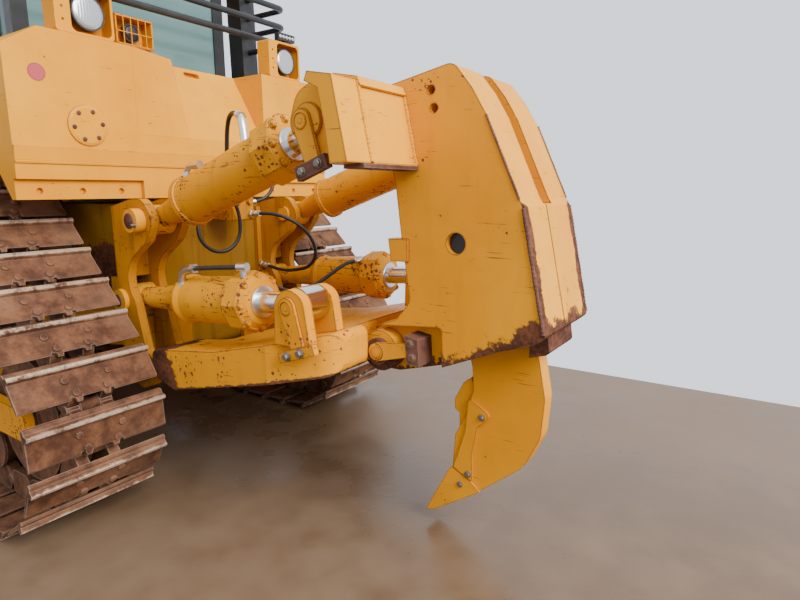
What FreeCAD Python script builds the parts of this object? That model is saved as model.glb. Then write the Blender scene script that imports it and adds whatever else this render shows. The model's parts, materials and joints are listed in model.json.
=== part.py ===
import FreeCAD, Part
import math
import os

# A large crawler bulldozer with raised sprockets, a semi-U blade and a single-shank ripper.
# Millimetres. +X points forwards, +Y to the left, +Z up. The ground is z = 0.
# While it is modelled, x = 0 is the rear idlers' axle; at the end everything moves to the origin below.

V = FreeCAD.Vector

# Tracks
GAUGE = 2083.0
SHOE_WIDTH = 660.0
SHOE_COUNT = 44
IDLER_SPAN = 3206.0
PITCH_TO_TIP = 125.0
IDLER_PITCH_R = 412.0
SPROCKET_PITCH_R = 430.0
SPROCKET_X = 900.0
SPROCKET_ABOVE_IDLER = 888.0
SHOE_PHASE = 0.874
LINK_HALF_HEIGHT = 63.0
LINK_TOP = 74.0
LINK_GAP = 96.0
LINK_THICKNESS = 56.0
BUSH_R = 33.0
FORK_GAP = 22.0
SPROCKET_TEETH = 25
SPROCKET_THICKNESS = 84.0
TRACK_Y = GAUGE / 2
IDLER_Z = PITCH_TO_TIP + IDLER_PITCH_R
SPROCKET_Z = IDLER_Z + SPROCKET_ABOVE_IDLER
TRACK_INNER_Y = TRACK_Y - SHOE_WIDTH / 2
TRACK_OUTER_Y = TRACK_Y + SHOE_WIDTH / 2
RAIL_TREAD = LINK_GAP + 2 * LINK_THICKNESS
RUN_GAP = 0.3

# One shoe's outside, from its front lip over the grouser to its rear lip: (along the pitch, out of the pitch line)
SHOE_OUTSIDE = [(-104, 82), (-96, 97), (-80, 97), (-72, PITCH_TO_TIP), (-58, PITCH_TO_TIP), (-44, 97),
                (96, 97), (104, 82)]
SHOE_INSIDE = [(-100, LINK_TOP), (100, LINK_TOP)]

# Track frames, rollers and idlers
ROLLER_COUNT = 8
ROLLER_TREAD_R = 108.0
ROLLER_FLANGE_R = 126.0
ROLLER_FIRST_X = 420.0
ROLLER_LAST_X = 2790.0
ROLLER_SIDES = 20
ROLLER_Z = PITCH_TO_TIP + LINK_HALF_HEIGHT + RUN_GAP + ROLLER_TREAD_R
IDLER_SIDES = 48
FRAME_HALF_W = 165.0
FRAME_BOTTOM = 446.0
FRAME_TOP = 740.0
YOKE_THICKNESS = 48.0
IDLER_FRAME_GAP = 70.0
PIVOT_SHAFT_X = 1060.0
PIVOT_SHAFT_R = 105.0
EQUALIZER_X = 2560.0

# Main frame and cases
RAIL_INNER_Y = 300.0
RAIL_OUTER_Y = 400.0
RAIL_BOTTOM = 700.0
RAIL_TOP = 1060.0
RAIL_FRONT = 3720.0
TOW_PIN = (3800.0, 0.0)
TOW_PIN_R = 30.0
TOW_EAR_R = 75.0
TOW_EAR = 34.0
TOW_LOW = 850.0
TOW_HEIGHT = 140.0
CASE_HALF_W = 560.0
CASE_BOTTOM = 640.0
CASE_FRONT = 1260.0
CASE_REAR = -40.0
HUB_R = 356.0

# Fuel tank
TANK_REAR = -60.0
TANK_FRONT = 540.0
TANK_TOP = 2440.0
TANK_BOTTOM = 1630.0
CASE_TOP = TANK_BOTTOM - RUN_GAP
TANK_HALF_W = 1090.0
TANK_CORE_HALF_W = 660.0
TANK_CHAMFER_Y = 925.0
TANK_CHAMFER_Z = 2337.0
TANK_LEDGE = 26.0
TANK_LEDGE_TOP = 1728.0
TANK_LEDGE_Y = 440.0
RECESS_LEFT = 120.0
RECESS_RIGHT = -480.0
RECESS_FOOT = 1980.0
RECESS_DEPTH = 280.0
RECESS_BEND_Y = 447.0
RECESS_BEND_DEPTH = 120.0
FILLER = (726.0, 2000.0)
FILLER_R = 100.0

# Lamps, window guard and valve block behind the cab
LAMP_X = 0.0
LAMP_DEPTH = 110.0
LAMP_SHEET = 8.0
LAMP_FOOT = 14.0
LAMP_LIFT = 245.0
LAMP_R = 88.0
CAGE_LAMP_R = 50.0
LAMP_BRACKETS = ((498.0, 802.0), (-915.0, -615.0))
LAMP_CAGE = (262.0, 482.0)
CAGE_HEIGHT = 155.0
GUARD_BAR_X = 250.0
GUARD_BAR_R = 20.0
GUARD_BAR_BEND = 60.0
GUARD_BAR_DROPS = (430.0, 305.0, 175.0, 40.0)
VALVE_REAR = -300.0
VALVE_RIGHT = -140.0
VALVE_LEFT = 30.0
HOSE_R = 11.0
COUPLING_R = 17.0
TUBE_SIDES = 10
ARC_SHARE = 0.45

# Hoses: each route from one coupling's end to the other's, (x, y, z)
HOSES = {
    "hose_valve_left": [(-235, 76, 1555), (-238, 174, 1556), (-250, 246, 1487), (-268, 250, 1387),
                        (-288, 180, 1315), (-308, 80, 1311), (-325, 6, 1381), (-338, 2, 1482),
                        (-346, 30, 1580), (-344, 94, 1658), (-332, 172, 1698), (-312, 255, 1684),
                        (-298, 311, 1645), (-287, 364, 1622)],
    "hose_valve_right": [(-345, -115, 1530), (-430, -122, 1536), (-510, -158, 1524), (-578, -218, 1482),
                         (-622, -283, 1412), (-632, -335, 1325), (-602, -362, 1237), (-530, -368, 1180),
                         (-440, -364, 1160), (-350, -372, 1146), (-260, -371, 1148), (-180, -380, 1160),
                         (-118, -384, 1169)],
    "hose_valve_high": [(-220, -190, 1598), (-228, -262, 1606), (-245, -325, 1642), (-256, -362, 1706),
                        (-242, -378, 1778), (-196, -382, 1836), (-126, -383, 1858)],
    "hose_lift": [(-800, 425, 1222), (-812, 345, 1225), (-838, 252, 1178), (-848, 150, 1128),
                  (-842, 40, 1108), (-852, -70, 1128), (-872, -170, 1172), (-888, -262, 1218),
                  (-896, -345, 1243), (-902, -415, 1240)],
    "hose_tilt": [(-940, 488, 2008), (-875, 464, 2034), (-800, 432, 2024), (-742, 400, 1974),
                  (-704, 376, 1902), (-678, 360, 1826), (-655, 354, 1752), (-628, 350, 1692),
                  (-622, 351, 1634)],
}

# Cab and roll-over frame
CAB_REAR = 600.0
CAB_FRONT = 1960.0
CAB_HALF_W = 735.0
CAB_FLOOR = 1790.0
CAB_WAIST = 2130.0
CAB_LOWER_HALF_W = 680.0
CAB_SILL = 2470.0
ROPS_TOP = 3448.0
ROPS_PLATE = 80.0
ROPS_POST = 150.0
ROPS_INNER_Y = 955.0
ROOM_UNDER_ROPS = 68.0
ROOF_THICKNESS = 60.0
CAB_TOP = ROPS_TOP - ROPS_PLATE - ROOM_UNDER_ROPS
CAB_CEILING = CAB_TOP - ROOF_THICKNESS
CAB_WALL = 46.0
DOOR_REAR = 830.0
DOOR_FRONT = 1640.0
DOOR_BOTTOM = 2180.0
DOOR_TOP = CAB_CEILING - 50
DOOR_GAP = 6.0
HINGE_X = DOOR_REAR + DOOR_GAP + 16
HINGE_OUT = 12.0
HINGE_SHARES = (78 / 505, 387 / 505)
HINGE_HEIGHTS = tuple(DOOR_BOTTOM + (DOOR_TOP - DOOR_BOTTOM) * share for share in HINGE_SHARES)
KNUCKLE = 90.0
GLASS = 8.0
CAB_ROOM = CAB_CEILING - CAB_FLOOR
SEAT_HEAD = CAB_ROOM - 370
SEAT_HALF_W = 260.0
SEAT_CUSHION = 440.0
DASH_TOP = CAB_ROOM - 590
DASH_HALF_W = 330.0
SIDE_CONSOLE_TOP = 660.0
SIDE_CONSOLE_OUT = 560.0

# Hood, engine and radiator guard
HOOD_HALF_W = 500.0
HOOD_TOP_REAR = 2420.0
HOOD_TOP_FRONT = 2330.0
HOOD_REAR = 1975.0
HOOD_FRONT = 3480.0
SHEET = 30.0
GUARD_FRONT = 3800.0
GUARD_HALF_W = 560.0
GUARD_TOP = 2340.0
GUARD_BOTTOM = 1075.0

# Fenders
FENDER_TOP = 2160.0
FENDER_THICKNESS = 40.0
FENDER_OUTER_Y = 1360.0
HAND_RAIL_REAR = 1760.0
HAND_RAIL_LENGTH = 340.0
HAND_RAIL_HEIGHT = 620.0
HAND_RAIL_BEND = 90.0
HAND_RAIL_R = 16.0
FENDER_FRONT = 2150.0

# Ripper: pins as (x, z)
LINK_FRONT_PIN = (-215.0, 700.0)
LINK_REAR_PIN = (-1573.0, 934.0)
TILT_BASE_PIN = (-300.0, 1520.0)
TILT_ROD_PIN = (-1500.0, 1930.0)
LIFT_BASE_PIN = (-80.0, 1080.0)
LIFT_ROD_PIN = (-1350.0, 1172.0)
CYLINDER_Y = 520.0
BRACKET_INNER_Y = 405.0
BRACKET_OUTER_Y = 635.0
BRACKET_PLATE = 50.0
RIPPER_BARREL_R = 120.0
RIPPER_HEAD_R = 136.0
RIPPER_ROD_R = 52.0
ROD_EYE_R = 80.0
EYE_HALF_W = 58.0
LUG_SEAT = 105.0
EAR_GAP = 66.0
EAR_PLATE = 52.0
TILT_EAR_GAP = 68.0
TILT_EAR_PLATE = 66.0
LINK_FRONT_HALF_W = 660.0
LINK_REAR_HALF_W = 540.0
CARRIAGE_HALF_W = 272.0
POCKET_DEPTH = 72.0
LOBE_R = 105.0
LUG_R = 96.0
CARRIAGE_PIN_R = 50.0
CROSSBAR_HALF_W = 735.0
SHANK_THICKNESS = 90.0
SHANK_GAP = 3.0
SHANK_FRONT_X = -1925.0
SHANK_REF_Z = 900.0
SHANK_SLOPE = 0.24
SHANK_DEPTH = 340.0
SHANK_PIN = (-1962.0, 1448.0)
SHANK_PIN_R = 45.0
PIN_CLEARANCE = 0.05
WEAR_BLOCK_TOP = 1600.0
KEEPER_LIFT = 9.0
FLAG_THICKNESS = 16.0
PROTECTOR_CHEEK = 12.0
PROTECTOR_NOSE_HALF = 34.0

# Blade and its arms: pins as (x, z)
ARM_PIN = (1700.0, 500.0)
ARM_INNER_Y = 1392.0
ARM_OUTER_Y = 1524.0
ARM_HEIGHT = 230.0
ARM_FRONT_X = 4600.0
BLADE_HALF_W = 1970.0
BLADE_CENTRE_HALF_W = 1180.0
BLADE_HEIGHT = 1690.0
BLADE_EDGE_X = 4985.0
BLADE_GROUND_GAP = 3.0
BLADE_PLATE = 60.0
BLADE_HOLLOW = 190.0
BLADE_LUG = 40.0
BLADE_LUG_GAP = 48.0
EDGE_HEIGHT = 300.0
WING_FORWARD = 300.0
BLADE_LIFT_TOP = (3890.0, 1800.0)
BLADE_LIFT_PIN = (4400.0, 560.0)
BLADE_LIFT_Y = 682.0
BLADE_BARREL_R = 84.0
BLADE_ROD_R = 42.0
BARREL_ABOVE = 1230.0
BARREL_BELOW = 285.0
ROD_ABOVE = 170.0
TRUNNION_R = 45.0

# Braces from the push arms to the blade: their pins as (x, z)
BRACE_LOW_PIN = (3700.0, 700.0)
BRACE_HIGH_PIN = (4670.0, 1250.0)
BRACE_EYE_R = 66.0
BRACE_EYE_HALF_W = 35.0
BRACE_LUG = 26.0

# The origin is under the middle of the whole machine, on the ground.
RIPPER_REAR_X = -2362.0
BLADE_FRONT_X = BLADE_EDGE_X + WING_FORWARD
ORIGIN_X = (RIPPER_REAR_X + BLADE_FRONT_X) / 2


def at(plane, a, b, c=0.0):
    """A point given by its two coordinates in a plane and its distance c out of the plane."""
    return {"xz": V(a, c, b), "xy": V(a, b, c), "yz": V(c, a, b)}[plane]


def corner(before, here, after, radius):
    """Where a rounded corner starts, its middle and where it ends; a sharp one is a single point."""
    if not radius:
        return [here]
    one = (before - here).normalize()
    two = (after - here).normalize()
    half = one.getAngle(two) / 2
    run = radius / math.tan(half)
    middle = (one + two).normalize()
    return [here + one * run, here + middle * (radius / math.sin(half) - radius), here + two * run]


def wire(points, plane, c=0.0):
    """A closed outline of straight runs. A point may carry a third number, the radius of its corner."""
    places = [at(plane, p[0], p[1], c) for p in points]
    count = len(points)
    corners = []
    for i, point in enumerate(points):
        radius = point[2] if len(point) > 2 else 0
        corners.append(corner(places[i - 1] * 1, places[i], places[(i + 1) % count] * 1, radius))
    edges = []
    for i, here in enumerate(corners):
        if len(here) == 3:
            edges.append(Part.Arc(*here).toShape())
        start, end = here[-1], corners[(i + 1) % count][0]
        if start.distanceToPoint(end) > 1e-6:
            edges.append(Part.LineSegment(start, end).toShape())
    return Part.Wire(edges)


NORMAL = {"xz": V(0, 1, 0), "xy": V(0, 0, 1), "yz": V(1, 0, 0)}


def plate(points, plane, low, high, holes=()):
    """A plate of the given outline from low to high across its plane, with other outlines cut out of it."""
    rims = [wire(points, plane, low)] + [wire(h, plane, low) for h in holes]
    solid = Part.Face(rims[0]).extrude(NORMAL[plane] * (high - low))
    for rim in rims[1:]:
        solid = solid.cut(Part.Face(rim).extrude(NORMAL[plane] * (high - low)))
    return solid


def box(x0, x1, y0, y1, z0, z1):
    return Part.makeBox(x1 - x0, y1 - y0, z1 - z0, V(x0, y0, z0))


def bar(start, end, radius):
    """A round bar between two points."""
    return Part.makeCylinder(radius, start.distanceToPoint(end), start, end - start)


def across(pin, radius, y0, y1):
    """A round bar along Y at a pin's place (x, z)."""
    return Part.makeCylinder(radius, y1 - y0, V(pin[0], y0, pin[1]), V(0, 1, 0))


def turned(profile, base, axis):
    """A solid of revolution. The profile lists (distance along the axis, radius)."""
    axis = V(axis).normalize()
    side = axis.cross(V(0, 1, 0))
    if side.Length < 0.5:
        side = axis.cross(V(1, 0, 0))
    side.normalize()
    points = [base + axis * p[0] + side * p[1] for p in profile]
    face = Part.Face(Part.makePolygon(points + [points[0]]))
    return face.revolve(base, axis, 360)


def tube(path, radius):
    """A bar along a path of lines and tangent arcs. Its rim has TUBE_SIDES corners and a round bar's area."""
    start = path.OrderedVertexes[0].Point
    edge = path.OrderedEdges[0]
    ahead = edge.tangentAt(edge.FirstParameter)
    across_one = ahead.cross(V(0, 0, 1) if abs(ahead.z) < 0.9 else V(1, 0, 0)).normalize()
    across_two = ahead.cross(across_one)
    step = 2 * math.pi / TUBE_SIDES
    reach = radius * math.sqrt(step / math.sin(step))
    rim = [start + across_one * (reach * math.cos(step * i)) + across_two * (reach * math.sin(step * i))
           for i in range(TUBE_SIDES)]
    return path.makePipeShell([Part.makePolygon(rim + rim[:1])], True, False)


def bent_path(points):
    """A middle line of straight runs joined by arcs as large as the shorter of two runs allows."""
    places = [V(*p) for p in points]
    corners = []
    for i, here in enumerate(places):
        if 0 < i < len(places) - 1:
            before, after = places[i - 1] - here, places[i + 1] - here
            half_turn = (math.pi - before.getAngle(after)) / 2
            run = ARC_SHARE * min(before.Length, after.Length)
            corners.append(corner(places[i - 1] * 1, here, places[i + 1] * 1, run / math.tan(half_turn)))
        else:
            corners.append([here])
    edges = []
    for here, after in zip(corners, corners[1:] + [None]):
        if len(here) == 3:
            edges.append(Part.Arc(*here).toShape())
        if after:
            edges.append(Part.LineSegment(here[-1], after[0]).toShape())
    return Part.Wire(edges)


def coupling(route, length, base=None):
    """The metal end of a hose: it meets the route's first point square and reaches back into its body."""
    end, following = V(*route[0]), V(*route[1])
    back = end - (following - end).normalize() * length
    points = [tuple(back), tuple(end)]
    return tube(bent_path([base] + points if base else points), COUPLING_R)


def joined(*shapes):
    """One solid of several that touch or overlap."""
    return shapes[0].fuse(list(shapes[1:])).removeSplitter()


def mirrored(shape):
    return shape.mirror(V(0, 0, 0), V(0, 1, 0))


def pair(shape):
    """A piece and its mirror image on the other side, as one group of separate solids."""
    return Part.makeCompound([shape, mirrored(shape)])


def toward(start, end, distance):
    """The point a distance along the line from one (x, z) pin to another."""
    length = math.dist(start, end)
    return tuple(s + (e - s) * distance / length for s, e in zip(start, end))


# Track path

def tangent_angle(one, two):
    """Direction of the outer tangent from one wheel to the next: atan2 of the centres, turned by their radii."""
    dx, dz = two[0] - one[0], two[1] - one[1]
    return math.atan2(dz, dx) + math.asin((one[2] - two[2]) / math.hypot(dx, dz))


def track_runs():
    """The pitch line as runs: ("line", start, end) and ("arc", centre, radius, first angle, sweep)."""
    wheels = [(0.0, IDLER_Z, IDLER_PITCH_R), (IDLER_SPAN, IDLER_Z, IDLER_PITCH_R),
              (SPROCKET_X, SPROCKET_Z, SPROCKET_PITCH_R)]
    runs = []
    for i, wheel in enumerate(wheels):
        after, before = wheels[(i + 1) % 3], wheels[i - 1]
        leaving = tangent_angle(wheel, after) - math.pi / 2
        arriving = tangent_angle(before, wheel) - math.pi / 2
        runs.append(("arc", wheel, arriving, (leaving - arriving) % (2 * math.pi)))
        ends = [(w[0] + w[2] * math.cos(leaving), w[1] + w[2] * math.sin(leaving)) for w in (wheel, after)]
        runs.append(("line", ends[0], ends[1]))
    return runs


def track_pins():
    """The chain's pins, evenly spaced round the pitch line."""
    runs = track_runs()
    lengths = [r[1][2] * r[3] if r[0] == "arc" else math.dist(r[1], r[2]) for r in runs]
    pitch = sum(lengths) / SHOE_COUNT
    pins = []
    for i in range(SHOE_COUNT):
        left = (i + SHOE_PHASE) * pitch
        for run, length in zip(runs, lengths):
            if left < length:
                break
            left -= length
        if run[0] == "line":
            pins.append(toward(run[1], run[2], left))
        else:
            angle = run[2] + left / run[1][2]
            pins.append((run[1][0] + run[1][2] * math.cos(angle), run[1][1] + run[1][2] * math.sin(angle)))
    return pins


def along_track(profile):
    """A loop of points that repeats a shoe's profile between each two pins."""
    pins = track_pins()
    points = []
    for start, end in zip(pins, pins[1:] + pins[:1]):
        length = math.dist(start, end)
        tx, tz = (end[0] - start[0]) / length, (end[1] - start[1]) / length
        mx, mz = (start[0] + end[0]) / 2, (start[1] + end[1]) / 2
        points += [(mx + s * tx + n * tz, mz + s * tz - n * tx) for s, n in profile]
    return points


def track():
    """The left track as one closed loop: shoes with grousers on two rails of links, and the bushes between."""
    shoes = plate(along_track(SHOE_OUTSIDE), "xz", TRACK_INNER_Y, TRACK_OUTER_Y, [along_track(SHOE_INSIDE)])
    rail_inside = along_track([(0, -LINK_HALF_HEIGHT)])
    loop = shoes
    for side in (-1, 1):
        edges = sorted([TRACK_Y + side * LINK_GAP / 2, TRACK_Y + side * (LINK_GAP / 2 + LINK_THICKNESS)])
        rail = plate(along_track([(-99, LINK_TOP + 3), (99, LINK_TOP + 3)]), "xz", edges[0], edges[1], [rail_inside])
        loop = loop.fuse(rail)
    return loop.removeSplitter()


def sprocket():
    """The toothed rim that drives the left track, on its hub, with a flat between each two teeth."""
    first = min(track_pins(), key=lambda p: abs(math.dist(p, (SPROCKET_X, SPROCKET_Z)) - SPROCKET_PITCH_R))
    start = math.atan2(first[1] - SPROCKET_Z, first[0] - SPROCKET_X)
    step = 2 * math.pi / SPROCKET_TEETH
    root = SPROCKET_PITCH_R - BUSH_R - 8
    tip = SPROCKET_PITCH_R + 20
    points = []
    for i in range(SPROCKET_TEETH):
        for share, radius in ((-0.2, root), (0.2, root), (0.42, tip), (0.58, tip)):
            angle = start + (i + share) * step
            points.append((SPROCKET_X + radius * math.cos(angle), SPROCKET_Z + radius * math.sin(angle)))
    half = SPROCKET_THICKNESS / 2
    rim = plate(points, "xz", TRACK_Y - half, TRACK_Y + half)
    hub = turned([(0, 0), (0, HUB_R - 20), (380, HUB_R - 20), (430, HUB_R - 60), (560, 250), (640, 230), (640, 0)],
                 V(SPROCKET_X, CASE_HALF_W + RUN_GAP, SPROCKET_Z), V(0, 1, 0))
    return joined(rim, hub)


def stacked(centre, rims):
    """A wheel of the left track made of discs on one axis: (first y, last y, radius, number of sides) from the track's middle."""
    discs = []
    for first, last, radius, sides in rims:
        points = []
        for i in range(sides):
            angle = 2 * math.pi * (i + 0.5) / sides
            points.append((centre[0] + radius * math.cos(angle), centre[1] + radius * math.sin(angle)))
        discs.append(plate(points, "xz", TRACK_Y + first, TRACK_Y + last))
    return joined(*discs)


def idlers():
    """The two idlers of the left track and its bottom rollers, each a turned wheel that reaches its forks."""
    start, end = track_pins()[:2]
    half_turn = math.asin(math.dist(start, end) / 2 / IDLER_PITCH_R)
    tread = (IDLER_PITCH_R * math.cos(half_turn) - LINK_HALF_HEIGHT) * math.cos(half_turn) - RUN_GAP
    half = RAIL_TREAD / 2
    hub = half + FORK_GAP - RUN_GAP
    middle = LINK_GAP / 2 - 8
    wheels = []
    for x in (0.0, IDLER_SPAN):
        rims = [(-hub, hub, 110, IDLER_SIDES), (-half, half, tread, IDLER_SIDES), (-middle, middle, tread + 22, IDLER_SIDES)]
        wheels.append(stacked((x, IDLER_Z), rims))
    outer = half + 4
    for i in range(ROLLER_COUNT):
        x = ROLLER_FIRST_X + (ROLLER_LAST_X - ROLLER_FIRST_X) * i / (ROLLER_COUNT - 1)
        rims = [(-hub, -outer, ROLLER_FLANGE_R, ROLLER_SIDES), (-outer, outer, ROLLER_TREAD_R, ROLLER_SIDES),
                (outer, hub, ROLLER_FLANGE_R, ROLLER_SIDES)]
        wheels.append(stacked((x, ROLLER_Z), rims))
    return Part.makeCompound(wheels)


def track_frame():
    """The left track frame: a box beam, forks round both idlers, roller guards and the blade arm's trunnion."""
    tread = IDLER_PITCH_R
    rear, front = tread + IDLER_FRAME_GAP - 40, IDLER_SPAN - tread - IDLER_FRAME_GAP + 40
    beam = plate([(rear, FRAME_BOTTOM), (front, FRAME_BOTTOM), (front, FRAME_TOP - 60, 40), (front - 300, FRAME_TOP),
                  (rear + 500, FRAME_TOP + 60, 60), (rear + 60, FRAME_TOP, 40), (rear, FRAME_TOP - 80)], "xz",
                 TRACK_Y - FRAME_HALF_W, TRACK_Y + FRAME_HALF_W)
    pieces = [beam]
    for side in (-1, 1):
        inside = TRACK_Y + side * (RAIL_TREAD / 2 + FORK_GAP)
        outside = inside + side * YOKE_THICKNESS
        low, high = min(inside, outside), max(inside, outside)
        for x, root in ((0.0, rear + 120), (IDLER_SPAN, front - 120)):
            ahead = -1 if x == 0 else 1
            fork = plate([(x + ahead * 120, IDLER_Z - 80, 60), (x + ahead * 120, IDLER_Z + 80, 60),
                          (root, IDLER_Z + 110), (root, IDLER_Z - 80)], "xz", low, high)
            pieces.append(fork)
        guard = plate([(rear + 40, FRAME_BOTTOM + 4), (rear + 120, ROLLER_Z - 16, 40), (front - 120, ROLLER_Z - 16, 40),
                       (front - 40, FRAME_BOTTOM + 4)], "xz", low, high)
        pieces.append(guard)
    outer_face = TRACK_Y + FRAME_HALF_W - 10
    seat = plate([(ARM_PIN[0] - 210, 420, 30), (ARM_PIN[0] + 210, 420, 30), (ARM_PIN[0] + 150, 640, 30),
                  (ARM_PIN[0] - 150, 640, 30)], "xz", outer_face, TRACK_OUTER_Y - 30)
    trunnion = turned([(0, 0), (0, 100), (ARM_INNER_Y - TRACK_OUTER_Y + 24, 78), (ARM_OUTER_Y - TRACK_OUTER_Y + 20, 78),
                       (ARM_OUTER_Y - TRACK_OUTER_Y + 34, 64), (ARM_OUTER_Y - TRACK_OUTER_Y + 34, 0)],
                      V(ARM_PIN[0], TRACK_OUTER_Y - 32, ARM_PIN[1]), V(0, 1, 0))
    pivot = bar(V(PIVOT_SHAFT_X, RAIL_OUTER_Y + RUN_GAP, 640), V(PIVOT_SHAFT_X, TRACK_Y - FRAME_HALF_W + 10, 640),
                PIVOT_SHAFT_R)
    return joined(*pieces, seat, trunnion, pivot)


# Main frame

def tow_ears():
    """The front pull clevis: two round-nosed ears with a bore for a loose pin."""
    x = TOW_PIN[0]
    outline = [(RAIL_FRONT - 20, -TOW_EAR_R), (x, -TOW_EAR_R), (x + TOW_EAR_R, -TOW_EAR_R, TOW_EAR_R - 1), (x + TOW_EAR_R, 0),
               (x + TOW_EAR_R, TOW_EAR_R, TOW_EAR_R - 1), (x, TOW_EAR_R), (RAIL_FRONT - 20, TOW_EAR_R)]
    bore = [Part.makeCylinder(TOW_PIN_R, TOW_HEIGHT + 2, V(x, 0, TOW_LOW - 1))]
    ears = [plate(outline, "xy", z, z + TOW_EAR) for z in (TOW_LOW, TOW_LOW + TOW_HEIGHT - TOW_EAR)]
    return [ear.cut(bore) for ear in ears]


def main_frame():
    """Two box rails from the case to the nose, tied at the front, with the pull clevis and the equalizer bar."""
    rear = CASE_REAR + 60
    rail = plate([(rear, RAIL_BOTTOM + 40), (900, RAIL_BOTTOM - 60), (1500, RAIL_BOTTOM),
                  (RAIL_FRONT, RAIL_BOTTOM + 40, 60), (RAIL_FRONT, RAIL_TOP), (CASE_FRONT, RAIL_TOP, 60),
                  (rear, RAIL_TOP - 40)], "xz", RAIL_INNER_Y, RAIL_OUTER_Y)
    nose = box(RAIL_FRONT - 260, RAIL_FRONT - 10, -RAIL_INNER_Y - 10, RAIL_INNER_Y + 10, RAIL_BOTTOM + 60, RAIL_TOP)
    bar_half = TRACK_Y - FRAME_HALF_W - RUN_GAP
    equalizer = plate([(-bar_half, 600, 30), (-bar_half, 720), (-RAIL_OUTER_Y, 800), (RAIL_OUTER_Y, 800),
                       (bar_half, 720), (bar_half, 600, 30)], "yz", EQUALIZER_X - 70, EQUALIZER_X + 70)
    return joined(rail, mirrored(rail), nose, equalizer, *tow_ears())


def rear_case():
    """The case of the transmission and final drives, with a round flange for each sprocket."""
    low = CASE_BOTTOM
    middle = plate([(CASE_REAR, low + 60, 60), (CASE_REAR, CASE_TOP, 40), (CASE_FRONT - 200, CASE_TOP, 120),
                    (CASE_FRONT, CASE_TOP - 260, 60), (CASE_FRONT, low + 260), (CASE_FRONT - 160, low, 60),
                    (CASE_REAR + 90, low, 60)], "xz", -RAIL_INNER_Y + RUN_GAP, RAIL_INNER_Y - RUN_GAP)
    upper = box(CASE_REAR, CASE_FRONT, -CASE_HALF_W, CASE_HALF_W, RAIL_TOP + RUN_GAP, CASE_TOP - 30)
    x, z = LIFT_BASE_PIN
    recess = box(CASE_REAR - 1, x + LUG_SEAT + RUN_GAP, BRACKET_INNER_Y - 20, BRACKET_OUTER_Y, z - 120 - RUN_GAP, z + 120 + RUN_GAP)
    return joined(middle, upper).cut(pair(recess))


def belly_guard():
    """The plate bolted under the two rails, with turned-up edges' bevels."""
    top = RAIL_BOTTOM - RUN_GAP
    return plate([(-RAIL_OUTER_Y, top), (RAIL_OUTER_Y, top), (RAIL_INNER_Y - 40, top - 28), (-RAIL_INNER_Y + 40, top - 28)], "yz",
                 1510, EQUALIZER_X - 90)


def engine():
    return box(HOOD_REAR + 120, HOOD_FRONT - 120, -330, 330, RAIL_BOTTOM + 120, HOOD_TOP_FRONT - 330).cut(
        joined(box(HOOD_REAR, HOOD_FRONT, RAIL_INNER_Y - 1, 400, 0, RAIL_TOP + RUN_GAP),
               box(HOOD_REAR, HOOD_FRONT, -400, -RAIL_INNER_Y + 1, 0, RAIL_TOP + RUN_GAP)))


def hood_top(x):
    """Height of the sloping hood."""
    return HOOD_TOP_REAR + (HOOD_TOP_FRONT - HOOD_TOP_REAR) * (x - HOOD_REAR) / (HOOD_FRONT - HOOD_REAR)


def hood():
    """The top cover: a sloping plate with folded edges and a raised rib."""
    section = [(-HOOD_HALF_W, 0), (-HOOD_HALF_W, 120, 50), (-HOOD_HALF_W + 120, 190, 60), (HOOD_HALF_W - 120, 190, 60),
               (HOOD_HALF_W, 120, 50), (HOOD_HALF_W, 0), (HOOD_HALF_W - SHEET, 0), (HOOD_HALF_W - SHEET, 110, 30),
               (HOOD_HALF_W - 130, 190 - SHEET, 40), (-HOOD_HALF_W + 130, 190 - SHEET, 40),
               (-HOOD_HALF_W + SHEET, 110, 30), (-HOOD_HALF_W + SHEET, 0)]
    ends = []
    for x, top in ((HOOD_REAR, HOOD_TOP_REAR), (HOOD_FRONT, HOOD_TOP_FRONT)):
        ends.append(wire([(p[0], p[1] + top - 190) + tuple(p[2:]) for p in section], "yz", x))
    return Part.makeLoft(ends, True, True)


def engine_sides():
    """Side doors of the engine bay, with a row of air slots."""
    slots = []
    for i in range(6):
        x = HOOD_REAR + 260 + i * 190
        slots.append([(x, 1500), (x + 90, 1500), (x + 90, 1900), (x, 1900)])
    side = plate([(HOOD_REAR + 5, RAIL_TOP + 40), (HOOD_FRONT - 5, RAIL_TOP + 40), (HOOD_FRONT - 5, HOOD_TOP_FRONT - 190 - RUN_GAP),
                  (HOOD_REAR + 5, HOOD_TOP_REAR - 190 - RUN_GAP)], "xz", HOOD_HALF_W - SHEET, HOOD_HALF_W, slots)
    return pair(side)


def radiator_guard():
    """The thick frame in front of the radiator, open inside, with the blade cylinders' yokes at its corners."""
    outer = plate([(HOOD_FRONT + RUN_GAP, GUARD_BOTTOM), (GUARD_FRONT, GUARD_BOTTOM, 40), (GUARD_FRONT, GUARD_TOP - 60, 60),
                   (GUARD_FRONT - 90, GUARD_TOP, 40), (HOOD_FRONT + RUN_GAP, GUARD_TOP - 4)], "xz", -GUARD_HALF_W, GUARD_HALF_W)
    window = box(HOOD_FRONT - 10, GUARD_FRONT + 10, -GUARD_HALF_W + 110, GUARD_HALF_W - 110, GUARD_BOTTOM + 110, GUARD_TOP - 130)
    feet = box(HOOD_FRONT + 60, RAIL_FRONT - 20, -RAIL_OUTER_Y, RAIL_OUTER_Y, RAIL_TOP + RUN_GAP, GUARD_BOTTOM + 20)
    return joined(outer.cut(window), feet)


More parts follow.
